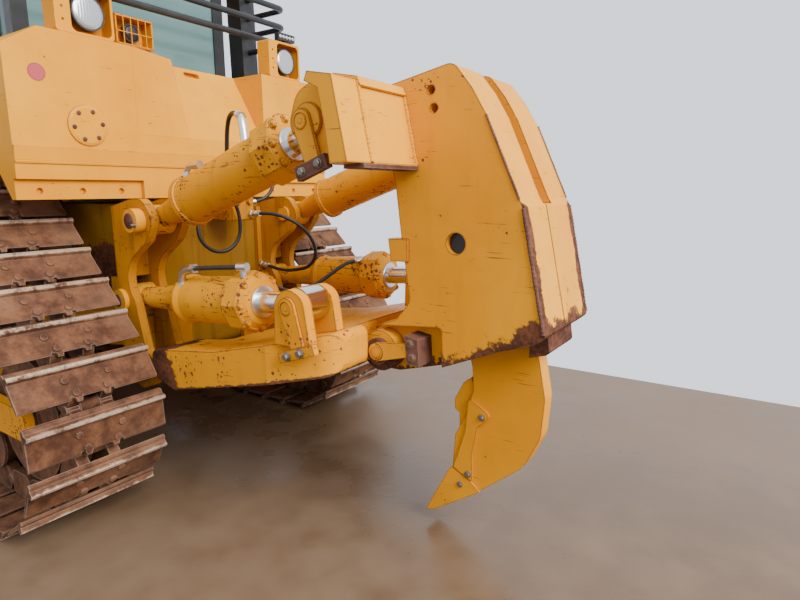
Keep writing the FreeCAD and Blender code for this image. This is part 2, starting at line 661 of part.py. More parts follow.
def grille():
    """A frame of upright bars in the radiator opening."""
    half, low, high = GUARD_HALF_W - 110 - RUN_GAP, GUARD_BOTTOM + 110 + RUN_GAP, GUARD_TOP - 130 - RUN_GAP
    face = GUARD_FRONT - 60
    slots = []
    count = 14
    pitch = (2 * half - 80) / count
    for i in range(count):
        y = -half + 40 + i * pitch + 12
        slots.append([(y, low + 40), (y + pitch - 24, low + 40), (y + pitch - 24, high - 40), (y, high - 40)])
    return plate([(-half, low), (half, low), (half, high), (-half, high)], "yz", face - 30, face, slots)


def tank_recess():
    """What is cut out of the tank's back: a slanted recess, a bend beside it, a hand slot and the ledge's step."""
    rear = TANK_REAR - 1
    foot, top = RECESS_FOOT, TANK_TOP + 1
    recess = plate([(rear, foot), (TANK_REAR, foot), (TANK_REAR + RECESS_DEPTH, top), (rear, top)], "xz",
                   RECESS_RIGHT, RECESS_LEFT)
    ends = []
    for y, depth in ((RECESS_BEND_Y, 1), (RECESS_LEFT - 1, RECESS_BEND_DEPTH)):
        ends.append(wire([(rear, foot), (TANK_REAR + 1, foot), (TANK_REAR + depth, top), (rear, top)], "xz", y))
    bend = Part.makeLoft(ends, True, True)
    slot = plate([(-178, 2385, 14), (-62, 2385, 14), (-62, 2415, 14), (-178, 2415, 14)], "yz",
                 TANK_REAR + RECESS_DEPTH - 120, TANK_REAR + RECESS_DEPTH + 20)
    step = box(rear, TANK_REAR + TANK_LEDGE, TANK_LEDGE_Y, TANK_HALF_W + 1, TANK_BOTTOM - 1, TANK_LEDGE_TOP)
    holes = [bar(V(rear, y, 1672), V(TANK_REAR + TANK_LEDGE + 20, y, 1672), 15) for y in (560, 770, 980)]
    return [recess, bend, slot, pair(joined(step, *holes))]


def fuel_tank():
    """The tank across the back, with chamfered upper corners and its sides cut away over the tracks."""
    core = box(TANK_REAR, TANK_FRONT, -TANK_CORE_HALF_W, TANK_CORE_HALF_W, TANK_BOTTOM, TANK_TOP)
    wing = plate([(TANK_REAR, TANK_BOTTOM), (5, TANK_BOTTOM), (370, 2100), (TANK_FRONT, 2100), (TANK_FRONT, TANK_TOP),
                  (TANK_REAR, TANK_TOP)], "xz", -TANK_HALF_W, TANK_HALF_W)
    outline = plate([(-TANK_HALF_W, TANK_BOTTOM), (TANK_HALF_W, TANK_BOTTOM), (TANK_HALF_W, TANK_CHAMFER_Z),
                     (TANK_CHAMFER_Y, TANK_TOP), (-TANK_CHAMFER_Y, TANK_TOP), (-TANK_HALF_W, TANK_CHAMFER_Z)], "yz",
                    TANK_REAR - 1, TANK_FRONT + 1)
    body = joined(core, wing).common(outline).cut(tank_recess())
    cover = turned([(-5, 0), (-5, FILLER_R), (8, FILLER_R), (14, FILLER_R - 14), (14, 0)],
                   V(TANK_REAR, *FILLER), V(-1, 0, 0))
    return joined(body, cover, coupling(HOSES["hose_valve_high"][::-1], 78))


def lamp_bracket(right, left):
    """A folded box on the tank's top, open behind, with a broad flange on its left."""
    low, high = TANK_TOP + LAMP_FOOT, TANK_TOP + LAMP_FOOT + LAMP_LIFT
    back = LAMP_X + LAMP_DEPTH
    sheet = LAMP_SHEET
    shell = plate([(right, low, 20), (left, low, 20), (left, high, 20), (right, high, 20)], "yz", LAMP_X, back)
    inside = plate([(right + sheet, low + sheet, 12), (left - sheet, low + sheet, 12), (left - sheet, high - sheet, 12),
                    (right + sheet, high - sheet, 12)], "yz", LAMP_X + sheet, back - sheet)
    window = plate([(right + 14, low + 14, 30), (left - 80, low + 14, 30), (left - 80, high - 14, 30),
                    (right + 14, high - 14, 30)], "yz", LAMP_X - 1, LAMP_X + sheet + 1)
    rivets = [bar(V(LAMP_X - 1, left - 38, z), V(LAMP_X + sheet + 1, left - 38, z), 6)
              for z in (low + 60, low + 120, low + 180)]
    feet = [box(LAMP_X + 20, back - 20, y - 20, y + 20, TANK_TOP + RUN_GAP, low + sheet / 2)
            for y in (right + 60, left - 60)]
    return joined(shell.cut([inside, window] + rivets), *feet)


def lamp_cage(right, left):
    """A smaller box with a wire grid across its open back."""
    low, high = TANK_TOP + LAMP_FOOT, TANK_TOP + LAMP_FOOT + 155
    sheet, wire_half = LAMP_SHEET, 2.5
    shell = box(LAMP_X + 10, LAMP_X + LAMP_DEPTH, right, left, low, high)
    inside = box(LAMP_X + 9, LAMP_X + LAMP_DEPTH - sheet, right + sheet, left - sheet, low + sheet, high - sheet)
    pieces = [shell.cut(inside)]
    for share in (0.2, 0.4, 0.6, 0.8):
        y = right + (left - right) * share
        pieces.append(box(LAMP_X + 6, LAMP_X + 12, y - wire_half, y + wire_half, low, high))
    for share in (0.05, 0.45, 0.95):
        z = low + (high - low) * share
        pieces.append(box(LAMP_X + 6, LAMP_X + 12, right, left, z - wire_half, z + wire_half))
    for y in (right + 50, left - 50):
        pieces.append(box(LAMP_X + 30, LAMP_X + 80, y - 15, y + 15, TANK_TOP + RUN_GAP, low + sheet / 2))
    return joined(*pieces)


def lamp_brackets():
    """Two open boxes and one wire cage for the lamps, standing on the tank."""
    return Part.makeCompound([lamp_bracket(*span) for span in LAMP_BRACKETS] + [lamp_cage(*LAMP_CAGE)])


def round_lamp(y, z, radius, depth):
    """A lamp pot that stands on its bracket's back wall and faces backwards."""
    wall = LAMP_X + LAMP_DEPTH - LAMP_SHEET - RUN_GAP
    return turned([(0, 0), (0, radius * 0.55), (depth * 0.5, radius), (depth - 8, radius), (depth - 8, radius - 8),
                   (depth - 14, radius - 8), (depth - 14, 0)], V(wall, y, z), V(-1, 0, 0))


def work_lamps():
    """A lamp in each bracket and in the cage, a bar lamp above the right bracket, and two on the hood's nose."""
    lamps = []
    for right, left in LAMP_BRACKETS:
        lamps.append(round_lamp((right + left) / 2 - 30, TANK_TOP + LAMP_FOOT + LAMP_LIFT / 2, LAMP_R, 90))
    lamps.append(round_lamp((LAMP_CAGE[0] + LAMP_CAGE[1]) / 2, TANK_TOP + LAMP_FOOT + CAGE_HEIGHT / 2, CAGE_LAMP_R, 70))
    right, left = LAMP_BRACKETS[1]
    top = TANK_TOP + LAMP_FOOT + LAMP_LIFT + RUN_GAP
    middle = (right + left) / 2 - 40
    lamps.append(joined(box(LAMP_X + 10, LAMP_X + 50, middle - 80, middle + 80, top + 16, top + 66),
                        box(LAMP_X + 20, LAMP_X + 40, middle - 20, middle + 20, top, top + 20)))
    for side in (-1, 1):
        y = side * (GUARD_HALF_W - 90)
        foot = box(GUARD_FRONT - 190, GUARD_FRONT - 130, y - 30, y + 30, GUARD_TOP + RUN_GAP, GUARD_TOP + 40)
        pot = turned([(0, 0), (0, 50), (50, 80), (110, 80), (110, 72), (104, 72), (104, 0)],
                     V(GUARD_FRONT - 210, y, GUARD_TOP + 112), V(1, 0, 0))
        lamps.append(joined(foot, pot))
    return Part.makeCompound(lamps)


def guard_bar(z):
    """One bar of the rear window's guard: across the cab, bent forwards at each end to the frame's posts."""
    half = ROPS_INNER_Y + ROPS_POST / 2
    end, x, bend = rops_rear(z - GUARD_BAR_R) - RUN_GAP / 2, GUARD_BAR_X, GUARD_BAR_BEND
    slack = bend * (1 - math.sqrt(0.5))
    arcs = [[V(x + bend, -half, z), V(x + slack, -half + slack, z), V(x, -half + bend, z)],
            [V(x, half - bend, z), V(x + slack, half - slack, z), V(x + bend, half, z)]]
    edges = [Part.LineSegment(V(end, -half, z), arcs[0][0]), Part.Arc(*arcs[0]),
             Part.LineSegment(arcs[0][2], arcs[1][0]), Part.Arc(*arcs[1]),
             Part.LineSegment(arcs[1][2], V(end, half, z))]
    return tube(Part.Wire([e.toShape() for e in edges]), GUARD_BAR_R)


def guard_bars():
    """The bars across the rear window: each hangs at its own drop below the window's head, down to the sill."""
    heights = [DOOR_TOP - drop for drop in GUARD_BAR_DROPS if DOOR_TOP - drop > CAB_SILL + GUARD_BAR_R]
    return Part.makeCompound([guard_bar(z) for z in heights])


def valve_block():
    """The block of quick couplings under the tank's middle, on the back of the case."""
    neck = CASE_REAR - RUN_GAP
    body = plate([(VALVE_REAR, 1490, 12), (neck, 1500), (neck, 1615), (VALVE_REAR, 1640, 12)], "xz", VALVE_RIGHT, VALVE_LEFT)
    caps = [bar(V(VALVE_REAR - 22, y, 1605), V(VALVE_REAR + 5, y, 1605), COUPLING_R) for y in (-100, -10)]
    ends = [coupling(HOSES["hose_valve_left"], 52), coupling(HOSES["hose_valve_right"], 50),
            coupling(HOSES["hose_valve_high"], 55)]
    return joined(body, *caps, *ends)


def hand_rail():
    """A bent rail on the left fender's outer edge, ahead of the door."""
    y, foot, top, bend = FENDER_OUTER_Y - 40, FENDER_TOP - 10, FENDER_TOP + HAND_RAIL_HEIGHT, HAND_RAIL_BEND
    slack = bend * (1 - math.sqrt(0.5))
    rear, front = HAND_RAIL_REAR, HAND_RAIL_REAR + HAND_RAIL_LENGTH
    arcs = [[V(rear, y, top - bend), V(rear + slack, y, top - slack), V(rear + bend, y, top)],
            [V(front - bend, y, top), V(front - slack, y, top - slack), V(front, y, top - bend)]]
    edges = [Part.LineSegment(V(rear, y, foot), arcs[0][0]), Part.Arc(*arcs[0]),
             Part.LineSegment(arcs[0][2], arcs[1][0]), Part.Arc(*arcs[1]),
             Part.LineSegment(arcs[1][2], V(front, y, foot))]
    return tube(Part.Wire([e.toShape() for e in edges]), HAND_RAIL_R)


def fenders():
    """Platforms beside the cab, over the tracks, with a rim strip and a hand rail on each."""
    low = FENDER_TOP - FENDER_THICKNESS
    top = box(TANK_FRONT + RUN_GAP, FENDER_FRONT, CAB_HALF_W + RUN_GAP, FENDER_OUTER_Y, low, FENDER_TOP)
    front = box(CAB_FRONT + 20, FENDER_FRONT, HOOD_HALF_W + 40, CAB_HALF_W + 10, low, FENDER_TOP)
    skirt = plate([(TANK_FRONT + RUN_GAP, low - 60), (FENDER_FRONT - 120, low - 60, 40), (FENDER_FRONT, low + 10),
                   (TANK_FRONT + RUN_GAP, low + 10)], "xz", FENDER_OUTER_Y - 12, FENDER_OUTER_Y)
    return pair(joined(top, front, skirt, hand_rail()))


# Cab

def cab_windows(shell):
    """Cuts the doorways, the corner lights, the rear window and the windscreen out of the shell."""
    deep = CAB_WALL + 40
    cuts = []
    for side in (-1, 1):
        y0, y1 = sorted([side * (CAB_HALF_W + 20), side * (CAB_HALF_W - deep)])
        cuts.append(box(DOOR_REAR, DOOR_FRONT, y0, y1, DOOR_BOTTOM, DOOR_TOP))
        cuts.append(box(CAB_REAR + 80, DOOR_REAR - 50, y0, y1, CAB_SILL, DOOR_TOP - 20))
        cuts.append(box(DOOR_FRONT + 50, CAB_FRONT - 80, y0, y1, CAB_SILL - 150, DOOR_TOP - 20))
    cuts.append(box(CAB_REAR - 20, CAB_REAR + deep, -CAB_HALF_W + 90, CAB_HALF_W - 90, CAB_SILL, DOOR_TOP - 10))
    cuts.append(box(CAB_FRONT - deep, CAB_FRONT + 20, -CAB_HALF_W + 90, CAB_HALF_W - 90, CAB_SILL, DOOR_TOP - 10))
    return shell.cut(cuts)


def cab_shell():
    """The cab without its roof: a hollow box, narrower below the waist, where it stands between the tracks."""
    shell = None
    for wall in (0, CAB_WALL):
        low, wide = CAB_LOWER_HALF_W - wall, CAB_HALF_W - wall
        top = CAB_CEILING + wall
        section = [(-low, CAB_FLOOR + wall), (low, CAB_FLOOR + wall), (low, CAB_WAIST + wall / 2), (wide, CAB_WAIST + wall / 2),
                   (wide, top), (-wide, top), (-wide, CAB_WAIST + wall / 2), (-low, CAB_WAIST + wall / 2)]
        solid = plate(section, "yz", CAB_REAR + wall, CAB_FRONT - wall)
        shell = shell.cut(solid) if shell else solid
    knuckles = []
    for z in HINGE_HEIGHTS:
        for low in (z - 40, z + KNUCKLE + RUN_GAP):
            y0, y1 = CAB_HALF_W + RUN_GAP, CAB_HALF_W + 2 * HINGE_OUT - 1
            ear = Part.makeCylinder(HINGE_OUT - 1, 40 - RUN_GAP, V(HINGE_X, CAB_HALF_W + HINGE_OUT, low), V(0, 0, 1))
            strap = box(DOOR_REAR - 30, HINGE_X, y0, y1, low, low + 40 - RUN_GAP)
            root = box(DOOR_REAR - 30, DOOR_REAR - 4, CAB_HALF_W - 2, y1, low, low + 40 - RUN_GAP)
            knuckles.append(joined(ear, strap, root))
    knuckles += [mirrored(k) for k in knuckles]
    return joined(cab_windows(shell), *knuckles)


def cab_roof():
    """The roof, a little longer than the cab and as wide."""
    roof = plate([(CAB_REAR - 20, CAB_CEILING + RUN_GAP), (CAB_FRONT + 60, CAB_CEILING + RUN_GAP), (CAB_FRONT + 60, CAB_TOP, 25),
                  (CAB_REAR - 20, CAB_TOP, 25)], "xz", -CAB_HALF_W, CAB_HALF_W)
    return roof


def cab_glass():
    """The panes that do not open: rear window, windscreen and four corner lights."""
    inset = RUN_GAP
    panes = []
    for x in (CAB_REAR + 12, CAB_FRONT - 12 - GLASS):
        panes.append(box(x, x + GLASS, -CAB_HALF_W + 90 + inset, CAB_HALF_W - 90 - inset, CAB_SILL + inset, DOOR_TOP - 10 - inset))
    for side in (-1, 1):
        y0, y1 = sorted([side * (CAB_HALF_W - 12), side * (CAB_HALF_W - 12 - GLASS)])
        panes.append(box(CAB_REAR + 80 + inset, DOOR_REAR - 50 - inset, y0, y1, CAB_SILL + inset, DOOR_TOP - 20 - inset))
        panes.append(box(DOOR_FRONT + 50 + inset, CAB_FRONT - 80 - inset, y0, y1, CAB_SILL - 150 + inset, DOOR_TOP - 20 - inset))
    return Part.makeCompound(panes)


def door():
    """The left door: a frame round one big pane, with a handle and two hinge knuckles at its rear edge."""
    x0, x1, z0, z1 = DOOR_REAR + DOOR_GAP, DOOR_FRONT - DOOR_GAP, DOOR_BOTTOM + DOOR_GAP, DOOR_TOP - DOOR_GAP
    leaf = plate([(x0, z0, 20), (x1, z0, 20), (x1, z1, 40), (x0, z1, 20)], "xz", CAB_HALF_W - CAB_WALL, CAB_HALF_W,
                 [[(x0 + 60, z0 + 70, 30), (x1 - 60, z0 + 70, 30), (x1 - 60, z1 - 60, 30), (x0 + 60, z1 - 60, 30)]])
    grip = box(x1 - 46, x1 - 20, CAB_HALF_W - 1, CAB_HALF_W + 40, z0 + 260, z0 + 420)
    pieces = [leaf, grip]
    for z in HINGE_HEIGHTS:
        pieces.append(Part.makeCylinder(HINGE_OUT + 6, KNUCKLE, V(HINGE_X, CAB_HALF_W + HINGE_OUT, z), V(0, 0, 1)))
    return joined(*pieces)


def door_glass():
    """The pane of the left door."""
    x0, x1, z0, z1 = DOOR_REAR + DOOR_GAP, DOOR_FRONT - DOOR_GAP, DOOR_BOTTOM + DOOR_GAP, DOOR_TOP - DOOR_GAP
    return plate([(x0 + 60.3, z0 + 70.3, 30), (x1 - 60.3, z0 + 70.3, 30), (x1 - 60.3, z1 - 60.3, 30), (x0 + 60.3, z1 - 60.3, 30)],
                 "xz", CAB_HALF_W - 12 - GLASS, CAB_HALF_W - 12)


def seat():
    """A suspension seat on its plinth."""
    z = CAB_FLOOR + CAB_WALL + RUN_GAP
    low, high, head = z + SEAT_CUSHION - 120, z + SEAT_CUSHION, z + SEAT_HEAD
    plinth = box(1000, 1360, 30 - SEAT_HALF_W, SEAT_HALF_W - 30, z, low + 10)
    cushion = plate([(960, low, 30), (1480, low, 40), (1500, high, 50), (960, high - 20, 20)], "xz",
                    -SEAT_HALF_W, SEAT_HALF_W)
    back = plate([(930, low + 60, 30), (1060, low + 80, 30), (960, head, 50), (850, head - 20, 40)], "xz",
                 20 - SEAT_HALF_W, SEAT_HALF_W - 20)
    return joined(plinth, cushion, back)


def consoles():
    """The dash and the side consoles."""
    z = CAB_FLOOR + CAB_WALL + RUN_GAP
    front, top, side_top = CAB_FRONT - CAB_WALL - RUN_GAP, z + DASH_TOP, z + SIDE_CONSOLE_TOP
    dash = plate([(1700, z), (front, z), (front, top, 60), (1740, top - 60, 60)], "xz", -DASH_HALF_W, DASH_HALF_W)
    side = plate([(900, z), (1460, z), (1560, side_top - 40, 50), (1380, side_top, 40), (900, side_top - 100, 60)],
                 "xz", DASH_HALF_W, SIDE_CONSOLE_OUT)
    return Part.makeCompound([dash, side, mirrored(side)])


def rops_rear(z):
    """Where the slanted posts' rear faces stand at a height."""
    return CAB_REAR + 30 + 30 * (z - FENDER_TOP) / (ROPS_TOP - ROPS_PLATE - FENDER_TOP)


def rops():
    """The roll-over frame: two posts beside the cab's rear, feet on the fenders and a canopy plate on top."""
    y = ROPS_INNER_Y
    foot_z, head_z = FENDER_TOP + RUN_GAP, ROPS_TOP - ROPS_PLATE + 10
    post = plate([(rops_rear(foot_z), foot_z), (rops_rear(foot_z) + ROPS_POST, foot_z),
                  (rops_rear(head_z) + ROPS_POST, head_z), (rops_rear(head_z), head_z)], "xz", y, y + ROPS_POST)
    foot = box(CAB_REAR + 5, CAB_REAR + 205, y - 40, y + ROPS_POST + 40, foot_z, FENDER_TOP + 60)
    canopy = plate([(CAB_REAR - 60, ROPS_TOP - ROPS_PLATE, 10), (CAB_FRONT - 260, ROPS_TOP - ROPS_PLATE, 10),
                    (CAB_FRONT - 220, ROPS_TOP, 20), (CAB_REAR - 60, ROPS_TOP, 30)], "xz", -y - ROPS_POST, y + ROPS_POST)
    return joined(post, foot, mirrored(post), mirrored(foot), canopy)


def exhaust():
    """The stack: a wide muffler tube and a narrower pipe, standing on the hood."""
    base = V(2860, -180, hood_top(2860) - SHEET / 2)
    tube = turned([(0, 0), (0, 95), (635, 95), (675, 68), (1015, 68), (1015, 0)], base, V(0, 0, 1))
    return tube.cut(hood())


def precleaner():
    """The air intake: a pipe with a round dust bowl, standing on the hood."""
    base = V(2500, 220, hood_top(2500) - SHEET / 2)
    bowl = turned([(0, 0), (0, 75), (225, 75), (245, 160), (395, 160), (465, 60), (465, 0)], base,
                  V(0, 0, 1))
    return bowl.cut(hood())


# Ripper

def cylinder_side(base, tip, neck, body, head, rod_end, half):
    """A barrel and its rod as two solids at one side. Lengths run from the base pin along the line to the rod's pin."""
    start, axis = V(base[0], CYLINDER_Y, base[1]), V(tip[0] - base[0], 0, tip[1] - base[1])
    span = axis.Length
    radius, head_r = RIPPER_BARREL_R, RIPPER_HEAD_R
    barrel = turned([(0, 0), (0, 52), (neck - 40, 74), (neck, radius), (neck + 30, radius + 10), (neck + 60, radius),
                     (body, radius), (body, head_r), (head - 30, head_r), (head, head_r - 30), (head, 0)], start, axis)
    eye = across(base, 78, CYLINDER_Y - half, CYLINDER_Y + half)
    bore = turned([(neck + 20, 0), (neck + 20, RIPPER_ROD_R + PIN_CLEARANCE), (head + 1, RIPPER_ROD_R + PIN_CLEARANCE), (head + 1, 0)],
                  start, axis)
    hole = across(base, 46 + PIN_CLEARANCE, 0, 800)
    barrel = joined(barrel, eye).cut(bore).cut(hole)
    rod = joined(turned([(rod_end, 0), (rod_end, RIPPER_ROD_R), (span, RIPPER_ROD_R), (span, 0)], start, axis),
                 across(tip, ROD_EYE_R, CYLINDER_Y - half, CYLINDER_Y + half))
    return barrel, rod


def base_pin(pin, outer):
    """A cylinder's base pin, through both bracket plates, with a round head outside."""
    shaft = across(pin, 46, BRACKET_INNER_Y - 20, BRACKET_OUTER_Y + 2)
    return joined(shaft, across(pin, 62, BRACKET_OUTER_Y + RUN_GAP, outer))


def ripper_brackets():
    """The plates behind the case that carry the link and the cylinders, the pads they stand on, two hose ends."""
    tilt, lift, link = TILT_BASE_PIN, LIFT_BASE_PIN, LINK_FRONT_PIN
    rear = CASE_REAR - RUN_GAP
    outline = [(rear, CASE_TOP - 40), (tilt[0] + 80, tilt[1] + 108, 80), (tilt[0] - 30, tilt[1] + 112, 80),
               (tilt[0] - 116, tilt[1], 70), (tilt[0] - 40, tilt[1] - 112, 80), (rear - 40, 1240, 160),
               (lift[0] - 110, lift[1], 90), (link[0] - 40, link[1] + 115, 40), (link[0] - 112, link[1] + 60, 60),
               (link[0] - 100, link[1] - 70, 80), (link[0] + 20, link[1] - 112, 70), (rear, link[1] - 50), (rear, lift[1] - 120),
               (lift[0] + LUG_SEAT, lift[1] - 120), (lift[0] + LUG_SEAT, lift[1] + 120), (rear, lift[1] + 120)]
    plates = [plate(outline, "xz", y, y + BRACKET_PLATE) for y in (BRACKET_INNER_Y, BRACKET_OUTER_Y - BRACKET_PLATE)]
    pad = box(rear - 30, rear, BRACKET_INNER_Y - 40, CASE_HALF_W + 60, RAIL_TOP + 40, CASE_TOP - 60)
    low_pad = box(rear - 30, rear, RAIL_INNER_Y - 100, BRACKET_OUTER_Y, link[1] - 40, RAIL_TOP + 40)
    room = box(rear - 40, rear + 10, CYLINDER_Y - EYE_HALF_W - 5, CYLINDER_Y + EYE_HALF_W + 5, lift[1] - 120, lift[1] + 120)
    side = joined(*plates, joined(pad, low_pad).cut(room))
    for pin, radius in ((tilt, 46), (lift, 46), (link, 60)):
        side = side.cut(across(pin, radius + PIN_CLEARANCE, 0, 900))
    left = joined(side, coupling(HOSES["hose_valve_left"][::-1], 48))
    right = joined(mirrored(side), coupling(HOSES["hose_valve_right"][::-1], 53))
    return Part.makeCompound([left, right])


def link_pin():
    """The pin the left arm of the link turns on."""
    return across(LINK_FRONT_PIN, 60, BRACKET_INNER_Y - 10, BRACKET_OUTER_Y + 12)


def keeper_flag(pin, foot, y0, y1, radius, keeper_run):
    """A pin's flat flag, from its round head to its foot, and the two-bolt keeper bar across the foot."""
    along = V(foot[0] - pin[0], 0, foot[1] - pin[1]).normalize()
    side = V(-along.z, 0, along.x)
    neck = radius * 0.78
    shape = [(foot[0] + side.x * neck * s, foot[1] + side.z * neck * s) for s in (1, -1)]
    shape += [(pin[0] + side.x * radius * s, pin[1] + side.z * radius * s) for s in (-1, 1)]
    flag = joined(plate(shape, "xz", y0, y0 + FLAG_THICKNESS), across(pin, radius, y0, y0 + FLAG_THICKNESS))
    ends = [(foot[0] + side.x * keeper_run * s + along.x * t, foot[1] + side.z * keeper_run * s + along.z * t)
            for s, t in ((1, -24), (-1, -24), (-1, 24), (1, 24))]
    keeper = plate(ends, "xz", y0 - KEEPER_LIFT + 6, y1)
    return joined(flag, keeper)


def ripper_link():
    """The lower link: two arms from the brackets, a wide box behind, lift-rod ears and lugs for the carriage."""
    front, rear, lift = LINK_FRONT_PIN, LINK_REAR_PIN, LIFT_ROD_PIN
    start = front[0] - 135
    side_outline = [(start, front[1] + 140, 40), (-840, front[1] + 200, 400), (rear[0] + 46, rear[1] + 128, 40),
                    (rear[0] + 46, rear[1] - 62, 60), (rear[0] + 100, rear[1] - 76, 60), (-520, 648, 80),
                    (start - 20, front[1] - 10, 60), (start, front[1] + 40, 40)]
    half, notch = LINK_REAR_HALF_W, CARRIAGE_HALF_W + 36
    notch_x = rear[0] + LOBE_R + 30
    plan = [(start + 10, LINK_FRONT_HALF_W), (start + 10, 385), (-640, 385, 60), (-640, -385, 60), (start + 10, -385),
            (start + 10, -LINK_FRONT_HALF_W), (-1200, -LINK_FRONT_HALF_W + 20), (rear[0] + 40, -half, 130),
            (rear[0] + 40, -notch), (notch_x, -notch), (notch_x, notch), (rear[0] + 40, notch),
            (rear[0] + 40, half, 130), (-1200, LINK_FRONT_HALF_W - 20)]
    body = plate(side_outline, "xz", -800, 800).common(plate(plan, "xy", 300, 1500))
    pieces = [body]
    ear = [(lift[0] + 90, 1000), (lift[0] + 84, lift[1] + 20, 60), (lift[0] + 20, lift[1] + 96, 80),
           (lift[0] - 84, lift[1] + 50, 70), (lift[0] - 120, 1000)]
    for side in (-1, 1):
        inner, outer = sorted([side * (CYLINDER_Y - EYE_HALF_W + 10), side * (CYLINDER_Y + EYE_HALF_W - 10)])
        tongue = plate([(front[0] + 40, front[1] + 95, 60), (start - 60, front[1] + 120), (start - 60, front[1]),
                        (front[0] + 40, front[1] - 95, 60), (front[0] + 95, front[1], 60)], "xz", inner, outer)
        pieces.append(tongue.cut(across(front, 60 + PIN_CLEARANCE, -900, 900)))
        for offset in (-EAR_GAP - EAR_PLATE, EAR_GAP):
            y0 = side * CYLINDER_Y + offset
            pieces.append(plate(ear, "xz", y0, y0 + EAR_PLATE))
        y0, y1 = sorted([side * (CARRIAGE_HALF_W - POCKET_DEPTH + 6), side * (CARRIAGE_HALF_W + 6)])
        lug = joined(across(rear, LUG_R, y0, y1), box(rear[0], notch_x + 20, y0, y1, rear[1] - 60, rear[1] + 50))
        pieces.append(lug.cut(across(rear, CARRIAGE_PIN_R + PIN_CLEARANCE, -900, 900)))
    flag_face = CYLINDER_Y + EAR_GAP + EAR_PLATE - 2
    flag = keeper_flag(lift, (lift[0] - 62, lift[1] - 190), flag_face, flag_face + 30, 46, 105)
    return joined(*pieces, flag, mirrored(flag))


def carriage_pin():
    """The left pin between the link's lug and the carriage, with its head outside."""
    shaft = across(LINK_REAR_PIN, CARRIAGE_PIN_R, SHANK_THICKNESS / 2 + 60, CARRIAGE_HALF_W + 8)
    return joined(shaft, across(LINK_REAR_PIN, 62, CARRIAGE_HALF_W + 6 + RUN_GAP, CARRIAGE_HALF_W + 30))


def shank_x(z, share):
    """Where the slanted shank stands at a height: share 0 is its front edge, 1 its rear edge."""
    return SHANK_FRONT_X + (z - SHANK_REF_Z) * SHANK_SLOPE - share * SHANK_DEPTH


def shank_slot():
    """The slanted slot for the shank, open at the top and below, and closed behind by the wear block."""
    half = SHANK_THICKNESS / 2 + SHANK_GAP
    low, high, turn = 800, 2300, 1900
    front = [(shank_x(low, 0) + SHANK_GAP, low), (shank_x(turn, 0) + SHANK_GAP, turn), (-1900, 2060), (-1900, high)]
    back = [(-2600, high), (-2600, WEAR_BLOCK_TOP + 10), (shank_x(WEAR_BLOCK_TOP + 10, 1) - SHANK_GAP, WEAR_BLOCK_TOP + 10),
            (shank_x(low, 1) - SHANK_GAP, low)]
    return plate(front + back, "xz", -half, half)


def carriage():
    """The block that holds the shank between two thick sides, with the crossbar and the tilt rods' ears."""
    pin, tip, half = LINK_REAR_PIN, TILT_ROD_PIN, CARRIAGE_HALF_W
    outline = [(-2359, 1100, 20), (-2318, 1066, 20), (-2171, 1018), (-1891, 900), (pin[0] - 60, pin[1] - LOBE_R, 60),
               (pin[0] + LOBE_R - 20, pin[1] - LOBE_R, 84), (pin[0] + LOBE_R, pin[1] + 60, 80),
               (pin[0] + 20, pin[1] + 119, 50), (-1660, 1090, 60), (-1737, 1180, 50), (-1693, 1453), (-1663, 1690),
               (-1600, 1950), (-1583, 2094), (-1940, 2162, 50), (-2023, 2060, 60), (-2083, 1961), (-2233, 1631),
               (-2254, WEAR_BLOCK_TOP)]
    block = plate(outline, "xz", -half, half)
    heel = plate([(-2337, 1000, 20), (-2250, 975), (-2250, 1080), (-2325, 1080)], "xz", -150, 150)
    seam = box(-2400, -2240, 27, 33, 1060, WEAR_BLOCK_TOP + 5).common(
        plate([(-2265, WEAR_BLOCK_TOP + 5), (-2375, 1060), (-2351, 1060), (-2246, WEAR_BLOCK_TOP + 5)], "xz", -half, half))
    pocket = [(pin[0] + LOBE_R + 40, pin[1] + LUG_R + 12), (-1899, 1083, 20), (-1901, 820, 20), (pin[0] + LOBE_R + 40, 800)]
    crossbar = plate([(-1705, 2072), (-1590, 2094), (-1575, 2060), (-1640, 2030), (-1668, 1900), (-1690, 1762),
                      (-1771, 1766)], "xz", -CROSSBAR_HALF_W, CROSSBAR_HALF_W)
    ear = [(-1705, 2071), (-1580, 2093), (tip[0] + 40, tip[1] + 110, 80), (tip[0] + 96, tip[1] - 30, 80),
           (tip[0] - 20, tip[1] - 112, 60), (-1640, 1762), (-1771, 1767)]
    pieces = []
    for side in (-1, 1):
        y0, y1 = sorted([side * (half - POCKET_DEPTH), side * (half + 1)])
        block = block.cut(plate(pocket, "xz", y0, y1))
        for offset in (-TILT_EAR_GAP - TILT_EAR_PLATE, TILT_EAR_GAP):
            y0 = side * CYLINDER_Y + offset
            pieces.append(plate(ear, "xz", y0, y0 + TILT_EAR_PLATE))
    outside = CYLINDER_Y + TILT_EAR_GAP + TILT_EAR_PLATE
    boss = across((tip[0] - 22, tip[1]), 68, outside - 5, outside + 14)
    flag = keeper_flag(tip, (tip[0] - 62, tip[1] - 178), outside + 10, outside + 44, 46, 78)
    stop = plate([(-1730, 1457), (-1629, 1457), (-1642, 1357), (-1730, 1357)], "xz", half - 60, half + 12)
    block = joined(block, heel, crossbar, *pieces, boss, flag, stop)
    block = joined(block, mirrored(boss), mirrored(flag), mirrored(stop)).cut([shank_slot(), seam])
    for place, radius in ((pin, CARRIAGE_PIN_R + PIN_CLEARANCE), (SHANK_PIN, SHANK_PIN_R + PIN_CLEARANCE),
                          ((-1839, 2066), 19), ((-1854, 1994), 19)):
        block = block.cut(across(place, radius, -half - 1, half + 1))
    return block


